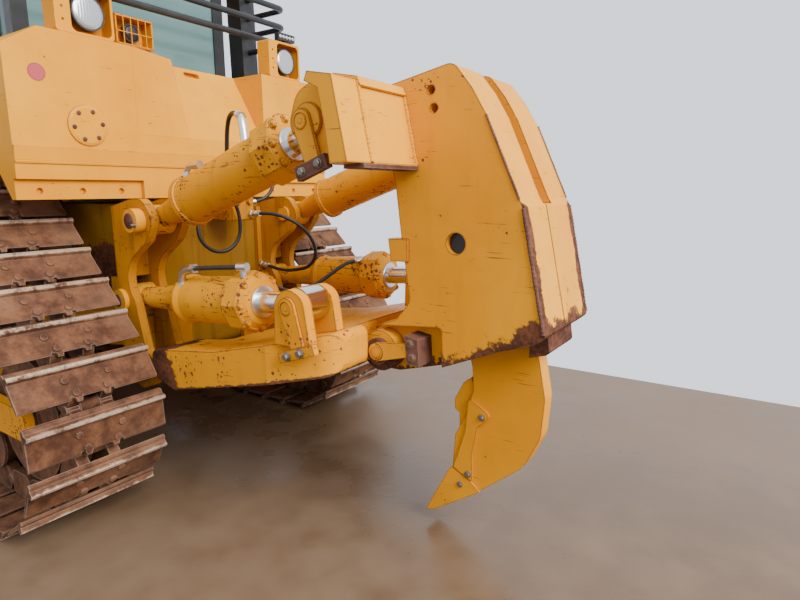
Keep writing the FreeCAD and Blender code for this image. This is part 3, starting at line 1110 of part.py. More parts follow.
def shank_guards(bar_solid):
    """The shank's front protector and its tip: a narrow nose between two cheeks that clasp the shank."""
    half = SHANK_THICKNESS / 2
    cheek = half + PROTECTOR_CHEEK
    side = [(-1921, 690), (-1934, 696), (-2012, 655, 20), (-2036, 632, 22), (-2006, 598, 20), (-1972, 566, 30),
            (-1946, 420), (-1950, 288), (-1937, 288.5), (-1846, 334.5), (-1868, 400), (-1910, 540)]
    nose = [(-1927, 800), (-1886, 768, 20), (-1862, 720), (-1840, 680, 10), (-1840, 628, 8), (-1866, 610), (-1872, 412),
            (-1849, 339), (-1890, 318), (-1950, 420), (-1990, 560), (-1960, 700)]
    tip = [(-1693, 61), (-1742, 72), (-1842, 140), (-1992, 240, 10), (-1936, 284), (-1845, 330), (-1826, 322)]
    protector = joined(plate(side, "xz", -cheek, cheek), plate(nose, "xz", -PROTECTOR_NOSE_HALF, PROTECTOR_NOSE_HALF))
    return protector.cut(bar_solid), plate(tip, "xz", -cheek, cheek).cut(bar_solid)


def shank():
    """The ripper's shank: a straight slanted bar in the carriage that curves forwards to its tip."""
    low = 860
    outline = [(shank_x(1840, 0), 1840, 20), (shank_x(low, 0), low, 60), (-1944, 745, 60), (-1900, 600, 80), (-1850, 500), (-1838, 331),
               (-1860, 270), (-1986, 240, 30), (-2204, 423, 200), (-2276, 580, 140), (-2290, 765, 120), (shank_x(low + 60, 1), low + 60),
               (shank_x(1840, 1), 1840, 20)]
    half = SHANK_THICKNESS / 2
    bar_solid = plate(outline, "xz", -half, half)
    for step in (0, 1):
        hole = (SHANK_PIN[0] - step * 0.24 * 270, SHANK_PIN[1] - step * 270)
        bar_solid = bar_solid.cut(across(hole, SHANK_PIN_R + PIN_CLEARANCE, -half - 1, half + 1))
    return bar_solid


def ripper():
    """Every piece of the ripper, by node name."""
    tilt_barrel, tilt_rod = cylinder_side(TILT_BASE_PIN, TILT_ROD_PIN, 300, 690, 850, 420, EYE_HALF_W)
    lift_barrel, lift_rod = cylinder_side(LIFT_BASE_PIN, LIFT_ROD_PIN, 440, 850, 990, 690, EYE_HALF_W)
    across_hose, tilt_hose = HOSES["hose_lift"], HOSES["hose_tilt"]
    lift_barrels = Part.makeCompound([joined(lift_barrel, coupling(across_hose, 45)),
                                      joined(mirrored(lift_barrel), coupling(across_hose[::-1], 65))])
    tilt_barrel = joined(tilt_barrel, coupling(tilt_hose, 42, (-985, 504, 1870)),
                         coupling(tilt_hose[::-1], 36, (-615, 415, 1600)))
    bar_solid = shank()
    protector, tip = shank_guards(bar_solid)
    pin_half = CARRIAGE_HALF_W - 30
    return {
        "ripper_brackets": ripper_brackets(),
        "ripper_link": ripper_link(),
        "ripper_link_pins": pair(link_pin()),
        "carriage_pins": pair(carriage_pin()),
        "carriage": carriage(),
        "shank": bar_solid,
        "shank_pin": across(SHANK_PIN, SHANK_PIN_R, -pin_half, pin_half),
        "shank_protector": protector,
        "ripper_tip": tip,
        "tilt_cylinder_pins": pair(base_pin(TILT_BASE_PIN, BRACKET_OUTER_Y + 58)),
        "tilt_barrels": pair(tilt_barrel),
        "tilt_rods": pair(tilt_rod),
        "lift_cylinder_pins": pair(base_pin(LIFT_BASE_PIN, BRACKET_OUTER_Y + 30)),
        "lift_barrels": lift_barrels,
        "lift_rods": pair(lift_rod),
    }


# Blade

def blade_section(y, forward, plate_depth):
    """The mouldboard's section at one distance out: a hollow curve in front, the same curve behind, set back."""
    low, high = BLADE_GROUND_GAP + EDGE_HEIGHT - 60, BLADE_HEIGHT
    front_x = BLADE_EDGE_X - 30 + forward
    hollow = (front_x - BLADE_HOLLOW, (low + high) / 2)
    ends = [(front_x, low), (front_x - 20, high)]
    shift = plate_depth
    face = Part.Arc(at("xz", *ends[0], y), at("xz", *hollow, y), at("xz", *ends[1], y)).toShape()
    top = Part.LineSegment(at("xz", *ends[1], y), at("xz", ends[1][0] - shift, high, y)).toShape()
    back = Part.Arc(at("xz", ends[1][0] - shift, high, y), at("xz", hollow[0] - shift, hollow[1], y),
                    at("xz", ends[0][0] - shift, low, y)).toShape()
    foot = Part.LineSegment(at("xz", ends[0][0] - shift, low, y), at("xz", *ends[0], y)).toShape()
    return Part.Wire([face, top, back, foot])


def wing_forward(y):
    """How far forward the mouldboard has come at a distance out: nothing in the middle, then a straight wing."""
    return WING_FORWARD * max(0, abs(y) - BLADE_CENTRE_HALF_W) / (BLADE_HALF_W - BLADE_CENTRE_HALF_W)


def blade_back_x(z, y=0.0):
    """Where the mouldboard's back stands at a place: a circle through its foot, hollow and top, moved by its wing."""
    low, high = BLADE_GROUND_GAP + EDGE_HEIGHT - 60, BLADE_HEIGHT
    radius = ((high - low) ** 2 / 4 + BLADE_HOLLOW ** 2) / (2 * BLADE_HOLLOW)
    rise = radius - math.sqrt(radius ** 2 - (z - (low + high) / 2) ** 2)
    return BLADE_EDGE_X - 40 - BLADE_PLATE - BLADE_HOLLOW + rise + wing_forward(y)


def blade():
    """The blade: a hollow curved plate with wings turned forwards, a box beam across its back and lugs."""
    stations = [(-BLADE_HALF_W, WING_FORWARD), (-BLADE_CENTRE_HALF_W, 0), (BLADE_CENTRE_HALF_W, 0), (BLADE_HALF_W, WING_FORWARD)]
    mouldboard = Part.makeLoft([blade_section(y, forward, BLADE_PLATE) for y, forward in stations], True, True)
    back = BLADE_EDGE_X - 30 - BLADE_PLATE
    seat = BLADE_PLATE / 2
    beams = [plate([(blade_back_x(260) + seat, 260), (blade_back_x(260) - 20, 250), (back - 300, 330, 40), (back - 300, 660, 40),
                    (back - 230, 800), (blade_back_x(900), 900), (blade_back_x(760) + seat, 760), (blade_back_x(500) + seat, 500)], "xz",
                   -BLADE_CENTRE_HALF_W, BLADE_CENTRE_HALF_W),
             plate([(blade_back_x(BLADE_HEIGHT - 30) + 10, BLADE_HEIGHT - 30), (blade_back_x(1400) + seat, 1400), (blade_back_x(1180) + seat, 1180),
                    (back - 270, 1240, 30), (back - 230, 1560, 40)], "xz",
                   -BLADE_CENTRE_HALF_W, BLADE_CENTRE_HALF_W)]
    pin = BLADE_LIFT_PIN
    lug = [(back - 280, 330), (pin[0] + 20, pin[1] - 86, 70), (pin[0] - 84, pin[1], 70), (pin[0] + 20, pin[1] + 92, 70), (back - 280, 760)]
    lugs = []
    for side in (-1, 1):
        for offset in (-BLADE_LUG_GAP - BLADE_LUG, BLADE_LUG_GAP):
            y0 = side * BLADE_LIFT_Y + offset
            lugs.append(plate(lug, "xz", y0, y0 + BLADE_LUG))
    arm_front = ARM_FRONT_X
    middle = (ARM_INNER_Y + ARM_OUTER_Y) / 2
    for side in (-1, 1):
        for offset in (-72, 42):
            y0 = side * middle + offset
            outer = max(abs(y0), abs(y0 + 30))
            lugs.append(plate([(blade_back_x(330, outer) + seat, 330), (arm_front - 40, 330, 60), (arm_front - 70, 480, 60),
                               (arm_front - 20, 620, 60), (blade_back_x(700, outer) + seat, 700)], "xz", y0, y0 + 30))
    x, z = BRACE_HIGH_PIN
    for side in (-1, 1):
        for y0 in (side * middle - BRACE_EYE_HALF_W - RUN_GAP - BRACE_LUG, side * middle + BRACE_EYE_HALF_W + RUN_GAP):
            outer = max(abs(y0), abs(y0 + BRACE_LUG))
            lugs.append(plate([(blade_back_x(z - 110, outer) + seat, z - 110), (x - 40, z - 62, 50), (x - 40, z + 62, 50),
                               (blade_back_x(z + 110, outer) + seat, z + 110)], "xz", y0, y0 + BRACE_LUG))
    return joined(mouldboard, *beams, *lugs)


def cutting_edges():
    """The bolted edge along the blade's foot: a middle run and one along each wing."""
    low, high = BLADE_GROUND_GAP, BLADE_GROUND_GAP + EDGE_HEIGHT
    face = BLADE_EDGE_X - 30 + RUN_GAP
    profile = [(face, high - 30), (face + 26, high - 30), (face + 40, low), (face, low)]
    middle = plate(profile, "xz", -BLADE_CENTRE_HALF_W + 1, BLADE_CENTRE_HALF_W - 1)
    ends = [wire([(p[0] + forward, p[1]) for p in profile], "xz", y)
            for y, forward in ((BLADE_CENTRE_HALF_W + 1, 1), (BLADE_HALF_W, WING_FORWARD))]
    wing = Part.makeLoft(ends, True, True)
    return Part.makeCompound([middle, wing, mirrored(wing)])


def push_arm():
    """The left push arm: a box beam with a socket on the trunnion and an eye at the blade."""
    x, z = ARM_PIN
    beam = plate([(x + 60, z - ARM_HEIGHT / 2), (ARM_FRONT_X - 60, 400, 60), (ARM_FRONT_X, 430, 40), (ARM_FRONT_X, 530, 40),
                  (ARM_FRONT_X - 60, 600, 60), (x + 60, z + ARM_HEIGHT / 2)], "xz", ARM_INNER_Y, ARM_OUTER_Y)
    socket = across((x, z), 150, ARM_INNER_Y, ARM_OUTER_Y)
    front = joined(beam, socket).cut(across((x, z), 78 + PIN_CLEARANCE, 0, 2000))
    cheeks = joined(box(ARM_FRONT_X - 200, ARM_FRONT_X + 20, ARM_INNER_Y - 20, (ARM_INNER_Y + ARM_OUTER_Y) / 2 - 41.7, 200, 900),
                    box(ARM_FRONT_X - 200, ARM_FRONT_X + 20, (ARM_INNER_Y + ARM_OUTER_Y) / 2 + 41.7, ARM_OUTER_Y + 20, 200, 900))
    x, z = BRACE_LOW_PIN
    middle = (ARM_INNER_Y + ARM_OUTER_Y) / 2
    lugs = []
    for y0 in (middle - BRACE_EYE_HALF_W - RUN_GAP - BRACE_LUG, middle + BRACE_EYE_HALF_W + RUN_GAP):
        lugs.append(plate([(x - 150, z - 120), (x + 130, z - 120), (x + 58, z + 40, 40), (x - 20, z + 72, 50), (x - 76, z, 50)], "xz",
                          y0, y0 + BRACE_LUG))
    return joined(front.cut(cheeks), *lugs)


def blade_cylinder():
    """The left lift cylinder of the blade: a barrel held by trunnions part way up, and its rod."""
    top, tip = BLADE_LIFT_TOP, BLADE_LIFT_PIN
    start, axis = V(top[0], BLADE_LIFT_Y, top[1]), V(tip[0] - top[0], 0, tip[1] - top[1])
    span = axis.Length
    r, rod_r = BLADE_BARREL_R, BLADE_ROD_R
    barrel = turned([(-BARREL_ABOVE, 0), (-BARREL_ABOVE, r + 8), (-BARREL_ABOVE + 60, r + 8), (-BARREL_ABOVE + 60, r), (-70, r), (-70, r + 16),
                     (70, r + 16), (70, r), (BARREL_BELOW - 90, r), (BARREL_BELOW - 90, r + 14), (BARREL_BELOW, r + 14), (BARREL_BELOW, 0)],
                    start, axis)
    bore = turned([(-BARREL_ABOVE + 40, 0), (-BARREL_ABOVE + 40, rod_r + PIN_CLEARANCE), (BARREL_BELOW + 1, rod_r + PIN_CLEARANCE),
                   (BARREL_BELOW + 1, 0)], start, axis)
    trunnions = across(top, TRUNNION_R, GUARD_HALF_W + 2, BLADE_LIFT_Y + r + 66)
    rod = joined(turned([(-ROD_ABOVE, 0), (-ROD_ABOVE, rod_r), (span, rod_r), (span, 0)], start, axis),
                 across(tip, 74, BLADE_LIFT_Y - 40, BLADE_LIFT_Y + 40))
    return joined(barrel, trunnions).cut(bore), rod


def blade_yokes():
    """The blocks on the radiator guard that hold the left lift cylinder's trunnions."""
    top, r = BLADE_LIFT_TOP, BLADE_BARREL_R
    inside, outside = GUARD_HALF_W + RUN_GAP, BLADE_LIFT_Y + r + 24
    cheek = [(GUARD_FRONT - 240, top[1] - 330, 30), (GUARD_FRONT - 110, top[1] - 330, 30), (top[0] + 70, top[1] - 60, 60),
             (top[0] + 60, top[1] + 80, 70), (top[0] - 90, top[1] + 60, 60), (GUARD_FRONT - 240, top[1] - 180, 60)]
    pieces = [plate(cheek, "xz", inside, BLADE_LIFT_Y - r - 20), plate(cheek, "xz", outside, outside + 46)]
    pieces.append(plate([(GUARD_FRONT - 238, top[1] - 328, 28), (GUARD_FRONT - 112, top[1] - 328, 28), (GUARD_FRONT - 112, top[1] - 200, 28),
                         (GUARD_FRONT - 238, top[1] - 200, 28)], "xz", inside, outside + 20))
    return joined(*pieces).cut(across(top, TRUNNION_R + PIN_CLEARANCE, inside - 1, 1000))


def blade_brace(side):
    """A round brace from the push arm up to the blade; on one side it is a hydraulic cylinder."""
    y = (ARM_INNER_Y + ARM_OUTER_Y) / 2
    low, high = at("xz", *BRACE_LOW_PIN, y), at("xz", *BRACE_HIGH_PIN, y)
    axis = high - low
    span = axis.Length
    fat = 84 if side > 0 else 58
    neck = BRACE_EYE_HALF_W - 2
    body = turned([(60, 0), (60, neck), (130, neck), (170, fat), (span * 0.62, fat), (span * 0.62 + 30, 46), (span - 150, 46),
                   (span - 120, neck), (span - 50, neck), (span - 50, 0)], low, axis)
    eyes = [across(p, BRACE_EYE_R, y - BRACE_EYE_HALF_W, y + BRACE_EYE_HALF_W) for p in (BRACE_LOW_PIN, BRACE_HIGH_PIN)]
    piece = joined(body, *eyes)
    return piece if side > 0 else mirrored(piece)


def blade_group():
    """Every piece of the blade, by node name."""
    barrel, rod = blade_cylinder()
    return {
        "blade": blade(),
        "cutting_edges": cutting_edges(),
        "push_arms": pair(push_arm()),
        "blade_tilt_cylinder": blade_brace(1),
        "blade_brace": blade_brace(-1),
        "blade_lift_barrels": pair(barrel),
        "blade_lift_rods": pair(rod),
        "blade_yokes": pair(blade_yokes()),
    }


def main():
    os.makedirs("parts", exist_ok=True)
    nodes = {
        "track_left": track(),
        "sprockets": pair(sprocket()),
        "idlers_and_rollers": pair(idlers()),
        "track_frame_left": track_frame(),
        "main_frame": main_frame(),
        "rear_case": rear_case(),
        "belly_guard": belly_guard(),
        "engine": engine(),
        "hood": hood(),
        "engine_side_panels": engine_sides(),
        "radiator_guard": radiator_guard(),
        "grille": grille(),
        "fuel_tank": fuel_tank(),
        "fenders": fenders(),
        "cab_shell": cab_shell(),
        "cab_roof": cab_roof(),
        "cab_glass": cab_glass(),
        "door_left": door(),
        "door_glass_left": door_glass(),
        "seat": seat(),
        "consoles": consoles(),
        "rops": rops(),
        "exhaust_stack": exhaust(),
        "air_precleaner": precleaner(),
        "lamp_brackets": lamp_brackets(),
        "work_lamps": work_lamps(),
        "guard_bars": guard_bars(),
        "valve_block": valve_block(),
    }
    for name, route in HOSES.items():
        path = bent_path(route)
        nodes[name] = tube(path, HOSE_R)
        radii = [round(e.Curve.Radius) for e in path.OrderedEdges if isinstance(e.Curve, Part.Circle)]
        whole = round(nodes[name].Volume / (math.pi * HOSE_R ** 2 * path.Length), 3)
        print(name, "length", round(path.Length), "volume to section times length", whole, "radii", radii)
    for left in ("track_left", "track_frame_left", "door_left", "door_glass_left"):
        nodes[left.replace("left", "right")] = mirrored(nodes[left])
    nodes.update(ripper())
    nodes.update(blade_group())
    for name, shape in nodes.items():
        shape.translate(V(-ORIGIN_X, 0, 0))
        shape.exportStep(f"parts/{name}.step")


if __name__ == "__main__":
    main()
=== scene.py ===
import json
import math

import bpy
import numpy as np
from mathutils import Matrix, Vector


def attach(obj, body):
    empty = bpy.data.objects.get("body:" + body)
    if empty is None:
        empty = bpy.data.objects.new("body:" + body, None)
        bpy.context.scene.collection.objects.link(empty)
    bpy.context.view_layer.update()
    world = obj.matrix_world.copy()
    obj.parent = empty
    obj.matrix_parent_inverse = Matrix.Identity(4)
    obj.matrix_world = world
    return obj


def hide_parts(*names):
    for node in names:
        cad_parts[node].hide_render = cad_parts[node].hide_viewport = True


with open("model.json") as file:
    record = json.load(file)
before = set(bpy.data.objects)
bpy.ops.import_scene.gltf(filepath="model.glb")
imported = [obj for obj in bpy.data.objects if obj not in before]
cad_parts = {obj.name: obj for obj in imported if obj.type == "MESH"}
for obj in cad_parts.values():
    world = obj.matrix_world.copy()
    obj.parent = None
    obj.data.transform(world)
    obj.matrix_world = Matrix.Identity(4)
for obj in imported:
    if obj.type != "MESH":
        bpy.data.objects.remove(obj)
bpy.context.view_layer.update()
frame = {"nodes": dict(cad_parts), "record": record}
NODES = frame["nodes"]

# Camera: where the photograph was taken from, in metres and degrees
CAMERA_PLACE = Vector((-4.5655, 2.371, 1.662))
CAMERA_YAW = -55.9
CAMERA_PITCH = 10.7
CAMERA_ROLL = -0.29
CAMERA_LENS = 25.9

# Light: an even pale sky and one broad lamp behind the machine, in metres and watts
SKY = (0.86, 0.91, 1.0, 1.0)
SKY_STRENGTH = 1.55
KEY_PLACE = (-11.0, 1.5, 7.0)
KEY_TARGET = (-1.5, 0.0, 1.2)
KEY_SIZE = (6.0, 6.0)
KEY_POWER = 2300.0
KEY_COLOUR = (1.0, 0.97, 0.92)

# Colours, linear
PAINT = (0.66, 0.25, 0.002)
# Paler enamel: broad paler patches of tone, and a painted highlight on faces that look up
PAINT_PALE_AND_LIT = (0.80, 0.38, 0.018)
PAINT_DEEP = (0.40, 0.13, 0.003)
# Darker enamel as painted shade on the brackets, valve block and main frame
PAINT_SHADED = (0.46, 0.18, 0.004)
# Much darker enamel as painted shade on the rear case
PAINT_DEEP_SHADE = (0.27, 0.13, 0.012)
RUST = (0.052, 0.020, 0.014)
RUST_BRIGHT = (0.16, 0.058, 0.028)
TRACK_RUST = (0.066, 0.025, 0.013)
TRACK_RUST_PALE = (0.185, 0.078, 0.036)
WELD_RUST = (0.060, 0.020, 0.016)
WELD_RUST_PALE = (0.15, 0.060, 0.040)
DEEP_RUST = (0.045, 0.022, 0.015)
DIRT = (0.075, 0.034, 0.014)
DRY_MUD = (0.24, 0.145, 0.09)
RUBBED_STEEL = (0.42, 0.32, 0.25)
WORN_STEEL = (0.50, 0.37, 0.27)
BLACK = (0.012, 0.012, 0.013)
RUBBER = (0.014, 0.014, 0.016)
DUST = (0.10, 0.085, 0.07)
CONCRETE = (0.13, 0.073, 0.034)
CONCRETE_PALE = (0.19, 0.13, 0.085)
CONCRETE_WET = (0.075, 0.040, 0.018)

# Corners of the floor in metres, which ends at the foot of the wall in the photograph
FLOOR = [(-40.0, -2.87, 0.0), (40.0, -2.87, 0.0), (40.0, 40.0, 0.0), (-40.0, 40.0, 0.0)]

# From here on lengths are millimetres, and x counts from the rear idler's axle, which stands in metres at:
AXLE = -1.4615

# Track: shoes, and the wheels that the chain's pins run round
SHOE_COUNT = 44
SHOE_PHASE = 0.874
IDLER_SPAN = 3206.0
IDLER_R = 412.0
IDLER_Z = 537.0
SPROCKET = (900.0, 1425.0)
SPROCKET_R = 430.0
TRACK_Y = 1041.5
HOSE_R = 11.0


# Shader expressions

class Value:
    """A socket of a material: + - and * add Math nodes, and math() adds any other."""

    def __init__(self, tree, socket):
        self.tree = tree
        self.socket = socket

    def math(self, operation, *others, clamp=False):
        settings = {"operation": operation, "use_clamp": clamp}
        return add(self.tree, "ShaderNodeMath", settings, self, *others)[0]

    def __add__(self, other):
        return self.math("ADD", other)

    def __radd__(self, other):
        return self.math("ADD", other)

    def __sub__(self, other):
        return self.math("SUBTRACT", other)

    def __rsub__(self, other):
        return (self * -1.0) + other

    def __mul__(self, other):
        return self.math("MULTIPLY", other)

    def __rmul__(self, other):
        return self.math("MULTIPLY", other)

    def clip(self):
        """The value, kept from 0 to 1."""
        return self.math("ADD", 0.0, clamp=True)

    def most(self, other):
        """The larger of two values."""
        return self.math("MAXIMUM", other)

    def step(self, low, high):
        """0 below low, 1 above high, and smooth between them."""
        settings = {"interpolation_type": "SMOOTHSTEP"}
        return add(self.tree, "ShaderNodeMapRange", settings, self, low, high, 0.0, 1.0)[0]


def add(tree, kind, settings, *values, **named):
    """Adds a node: its settings first, then the values or links of its sockets, in order or by name."""
    node = tree.nodes.new(kind)
    for name, value in settings.items():
        setattr(node, name, value)
    pairs = list(zip(node.inputs, values)) + [(node.inputs[k], v) for k, v in named.items()]
    for socket, value in pairs:
        if isinstance(value, Value):
            tree.links.new(value.socket, socket)
        else:
            socket.default_value = value
    return [Value(tree, out) for out in node.outputs]


class Material:
    """A new material with one Principled shader. Its methods give the patterns that finishes are made of."""

    def __init__(self, name):
        self.data = bpy.data.materials.new(name)
        self.data.use_nodes = True
        self.tree = self.data.node_tree
        self.tree.nodes.clear()
        self.shader = self.tree.nodes.new("ShaderNodeBsdfPrincipled")
        out = self.tree.nodes.new("ShaderNodeOutputMaterial")
        self.tree.links.new(self.shader.outputs[0], out.inputs[0])
        self.place = self.add("ShaderNodeTexCoord", {})[3]
        geometry = self.add("ShaderNodeNewGeometry", {})
        self.normal = geometry[1]
        x, self.y, self.z = self.add("ShaderNodeSeparateXYZ", {}, self.place)
        self.x = x - AXLE
        self.up = self.add("ShaderNodeSeparateXYZ", {}, self.normal)[2]

    def add(self, kind, settings, *values, **named):
        return add(self.tree, kind, settings, *values, **named)

    def noise(self, scale, detail=2.0, roughness=0.5, stretch=None, shift=0.0):
        """Smooth noise, about 0 to 1, with a feature about 1 / scale metres across."""
        place = self.place
        if stretch or shift:
            place = self.add("ShaderNodeMapping", {}, place, Location=(shift, shift, shift),
                             Scale=stretch or (1, 1, 1))[0]
        return self.add("ShaderNodeTexNoise", {}, place, Scale=scale, Detail=detail, Roughness=roughness)[0]

    def cells(self, scale):
        """Distance to the nearest of many scattered points."""
        return self.add("ShaderNodeTexVoronoi", {"feature": "F1"}, self.place, Scale=scale, Randomness=1.0)[0]

    def edge(self, radius):
        """1 along sharp edges and 0 on flat faces: how far a rounded normal leans from the real one."""
        round_normal = self.add("ShaderNodeBevel", {"samples": 4}, radius)[0]
        lean = self.add("ShaderNodeVectorMath", {"operation": "DOT_PRODUCT"}, round_normal, self.normal)[1]
        return (1.0 - lean).step(0.02, 0.16)

    def mix(self, share, one, two):
        """A colour between two, by a share from 0 to 1."""
        node = self.tree.nodes.new("ShaderNodeMix")
        node.data_type = "RGBA"
        for socket, value in ((node.inputs[0], share), (node.inputs[6], one), (node.inputs[7], two)):
            if isinstance(value, Value):
                self.tree.links.new(value.socket, socket)
            else:
                socket.default_value = value if isinstance(value, (int, float)) else (*value, 1.0)
        return Value(self.tree, node.outputs[2])

    def bump(self, height, strength, distance):
        """A normal that leans as a surface of that height would, to a depth in metres."""
        return self.add("ShaderNodeBump", {}, strength, distance, Height=height)[0]

    def finish(self, **sockets):
        """Sets the shader's sockets, each to a value or to a pattern, and gives the material."""
        for name, value in sockets.items():
            socket = self.shader.inputs[name.replace("_", " ")]
            if isinstance(value, Value):
                self.tree.links.new(value.socket, socket)
            elif isinstance(value, tuple) and len(value) == 3:
                socket.default_value = (*value, 1.0)
            else:
                socket.default_value = value
        return self.data


def paint(name, rust=0.15, chips=0.2, grime=0.3, tone=PAINT, zones=(), edge=0.010):
    """Weathered enamel: uneven tone, streaks of dirt, scratches, rust specks, chipped spots and worn edges.
    Each zone, (a, b, c, d, softness), is rubbed down to rust where a x + b y + c z is under d, with a ragged
    border."""
    m = Material(name)
    broad = m.noise(1.3, 3.0)
    middle = m.noise(7.0, 3.0, 0.6)
    fine = m.noise(46.0, 2.0, 0.6)
    grain = m.noise(150.0, 1.0)

    # Enamel: paler in broad patches, deeper in smaller ones, and paler on faces that look up as painted light
    # from above
    colour = m.mix(((broad - 0.35) * 1.5).clip(), tone, PAINT_PALE_AND_LIT if tone == PAINT else tone)
    colour = m.mix(((middle - 0.45) * 1.3).clip() * 0.4, colour, PAINT_DEEP)
    colour = m.mix((m.up - 0.6).clip() * 0.5, colour, PAINT_PALE_AND_LIT)

    # Dirt in long upright streaks
    streaks = m.noise(3.0, 3.0, 0.6, stretch=(5.0, 5.0, 0.5))
    dirt = ((streaks - 0.52) * 3.0).clip() * middle * grime
    colour = m.mix(dirt.clip(), colour, DIRT)

    # Wear: level scratches, rust specks, round chips, rubbed edges and the zones, each place taking the most
    scratch = m.noise(14.0, 2.0, 0.7, stretch=(0.25, 1.0, 7.0))
    scratch = (scratch - 0.60 - 0.10 * (1.0 - chips)).step(0.0, 0.03) * (middle - 0.42).step(0.0, 0.12)
    specks = (fine + (middle - 0.5) * 0.9).step(0.86 - 0.28 * rust, 0.90 - 0.28 * rust)
    spots = (m.cells(30.0) * -1.0 + (0.05 + 0.28 * chips) + (middle - 0.62)).step(0.0, 0.03)
    worn_edge = (m.edge(edge) * 1.15 + (middle - 0.62) * 1.4 + (fine - 0.5) * 1.1).step(0.62, 0.74)
    wear = specks.most(spots).most(worn_edge).most(scratch * 0.75)
    for a, b, c, d, soft in zones:
        reach = (m.x * a + m.y * b + m.z * c - d) * (-1.0 / soft)
        ragged = reach + (middle - 0.5) * 2.6 + (fine - 0.5) * 1.2 + (broad - 0.5) * 1.5
        wear = wear.most(ragged.step(0.0, 0.35))

    rust_colour = m.mix(((fine + middle) * 0.5).step(0.38, 0.66), RUST, RUST_BRIGHT)
    colour = m.mix(wear, colour, rust_colour)
    rough = 0.40 + wear * 0.40 + dirt * 0.2 + (grain - 0.5) * 0.12
    bump = m.bump(grain * 0.25 + middle * 0.8 - wear * 1.2, 0.25, 0.004)
    return m.finish(Base_Color=colour, Roughness=rough, Normal=bump, Specular_IOR_Level=0.10)


def rusty_steel(name, dark=TRACK_RUST, pale=TRACK_RUST_PALE, polish=0.4):
    """Brown rolled steel: mottled rust, dry mud in patches, and pale metal on edges and where "worn" is 1."""
    m = Material(name)
    broad = m.noise(2.2, 3.0)
    middle = m.noise(11.0, 4.0, 0.65)
    fine = m.noise(70.0, 3.0, 0.6)
    colour = m.mix((middle + broad * 0.5).step(0.55, 0.95), dark, pale)
    colour = m.mix(((broad - 0.5) * 3.0 + (fine - 0.5)).clip() * 0.45, colour, DRY_MUD)
    colour = m.mix(((fine - 0.45) * 2.0).clip() * 0.6, colour, DEEP_RUST)
    colour = m.mix((m.edge(0.012) + (fine - 0.6)).step(0.35, 0.75) * polish, colour, RUBBED_STEEL)
    worn = m.add("ShaderNodeAttribute", {"attribute_name": "worn"})[2]
    worn = (worn + (middle - 0.5) * 2.4 + (fine - 0.5)).step(0.55, 1.15) * worn
    colour = m.mix(worn * 0.85, colour, WORN_STEEL)
    rough = 0.72 + (fine - 0.5) * 0.3 - worn * 0.25
    bump = m.bump(middle + fine * 0.4, 0.5, 0.005)
    return m.finish(Base_Color=colour, Roughness=rough, Metallic=0.1 + worn * 0.3, Normal=bump,
                    Specular_IOR_Level=0.2)


def metal(name, colour, rough, metallic=1.0):
    """Bright metal with faint stains."""
    m = Material(name)
    fine = m.noise(90.0, 2.0)
    stain = m.noise(20.0, 3.0, 0.6)
    shade = m.mix(((stain - 0.5) * 2.0).clip() * 0.5, colour, tuple(c * 0.45 for c in colour))
    return m.finish(Base_Color=shade, Metallic=metallic, Roughness=rough + fine * 0.12,
                    Normal=m.bump(stain, 0.1, 0.001))


def black(name, rough, colour=BLACK):
    """Black paint, plastic, rubber or cloth, with dust in patches and a fine grain."""
    m = Material(name)
    dust = m.noise(12.0, 4.0, 0.6)
    shade = m.mix((dust - 0.5).clip() * 0.6, colour, DUST)
    return m.finish(Base_Color=shade, Roughness=rough + (dust - 0.5) * 0.25,
                    Normal=m.bump(m.noise(220.0), 0.15, 0.001))


def glass(name):
    """Green-tinted cab glass with faint smears, two thirds opaque."""
    m = Material(name)
    smear = m.noise(5.0, 3.0)
    return m.finish(Base_Color=(0.16, 0.30, 0.30), Roughness=0.05 + smear * 0.08, Alpha=0.66 + smear * 0.1,
                    Specular_IOR_Level=0.6)


def lens(name):
    """Fluted lamp glass over a bright reflector."""
    m = Material(name)
    flutes = (m.y * 420.0).math("SINE")
    return m.finish(Base_Color=(0.42, 0.44, 0.45), Metallic=0.6, Roughness=0.22, Coat_Weight=1.0,
                    Normal=m.bump(flutes, 0.25, 0.001))


# Zones of bare rust, (a, b, c, d, softness) in metres, where a x + b y + c z is under d: the carriage's foot,
# the two flanks of its wear block, the link's underside and heel, and the case beside the left track, where
# the dark rust colour is partly a stain and partly painted shade
BOTTOM_RUST = [(0.42, 0.0, 1.0, 0.176, 0.10)]
BLOCK_RUST = [(5.0, -1.0, -1.05, -13.172, 0.03), (5.0, 1.0, -1.05, -13.172, 0.03)]
LINK_RUST = [(0.2204, 0.0, 1.0, 0.546, 0.018), (-1.0, 0.0, 0.25, 0.70, 0.07)]
CASE_SHADE_AND_STAIN = [(0.0, -1.0, 0.6, 0.27, 0.06)]

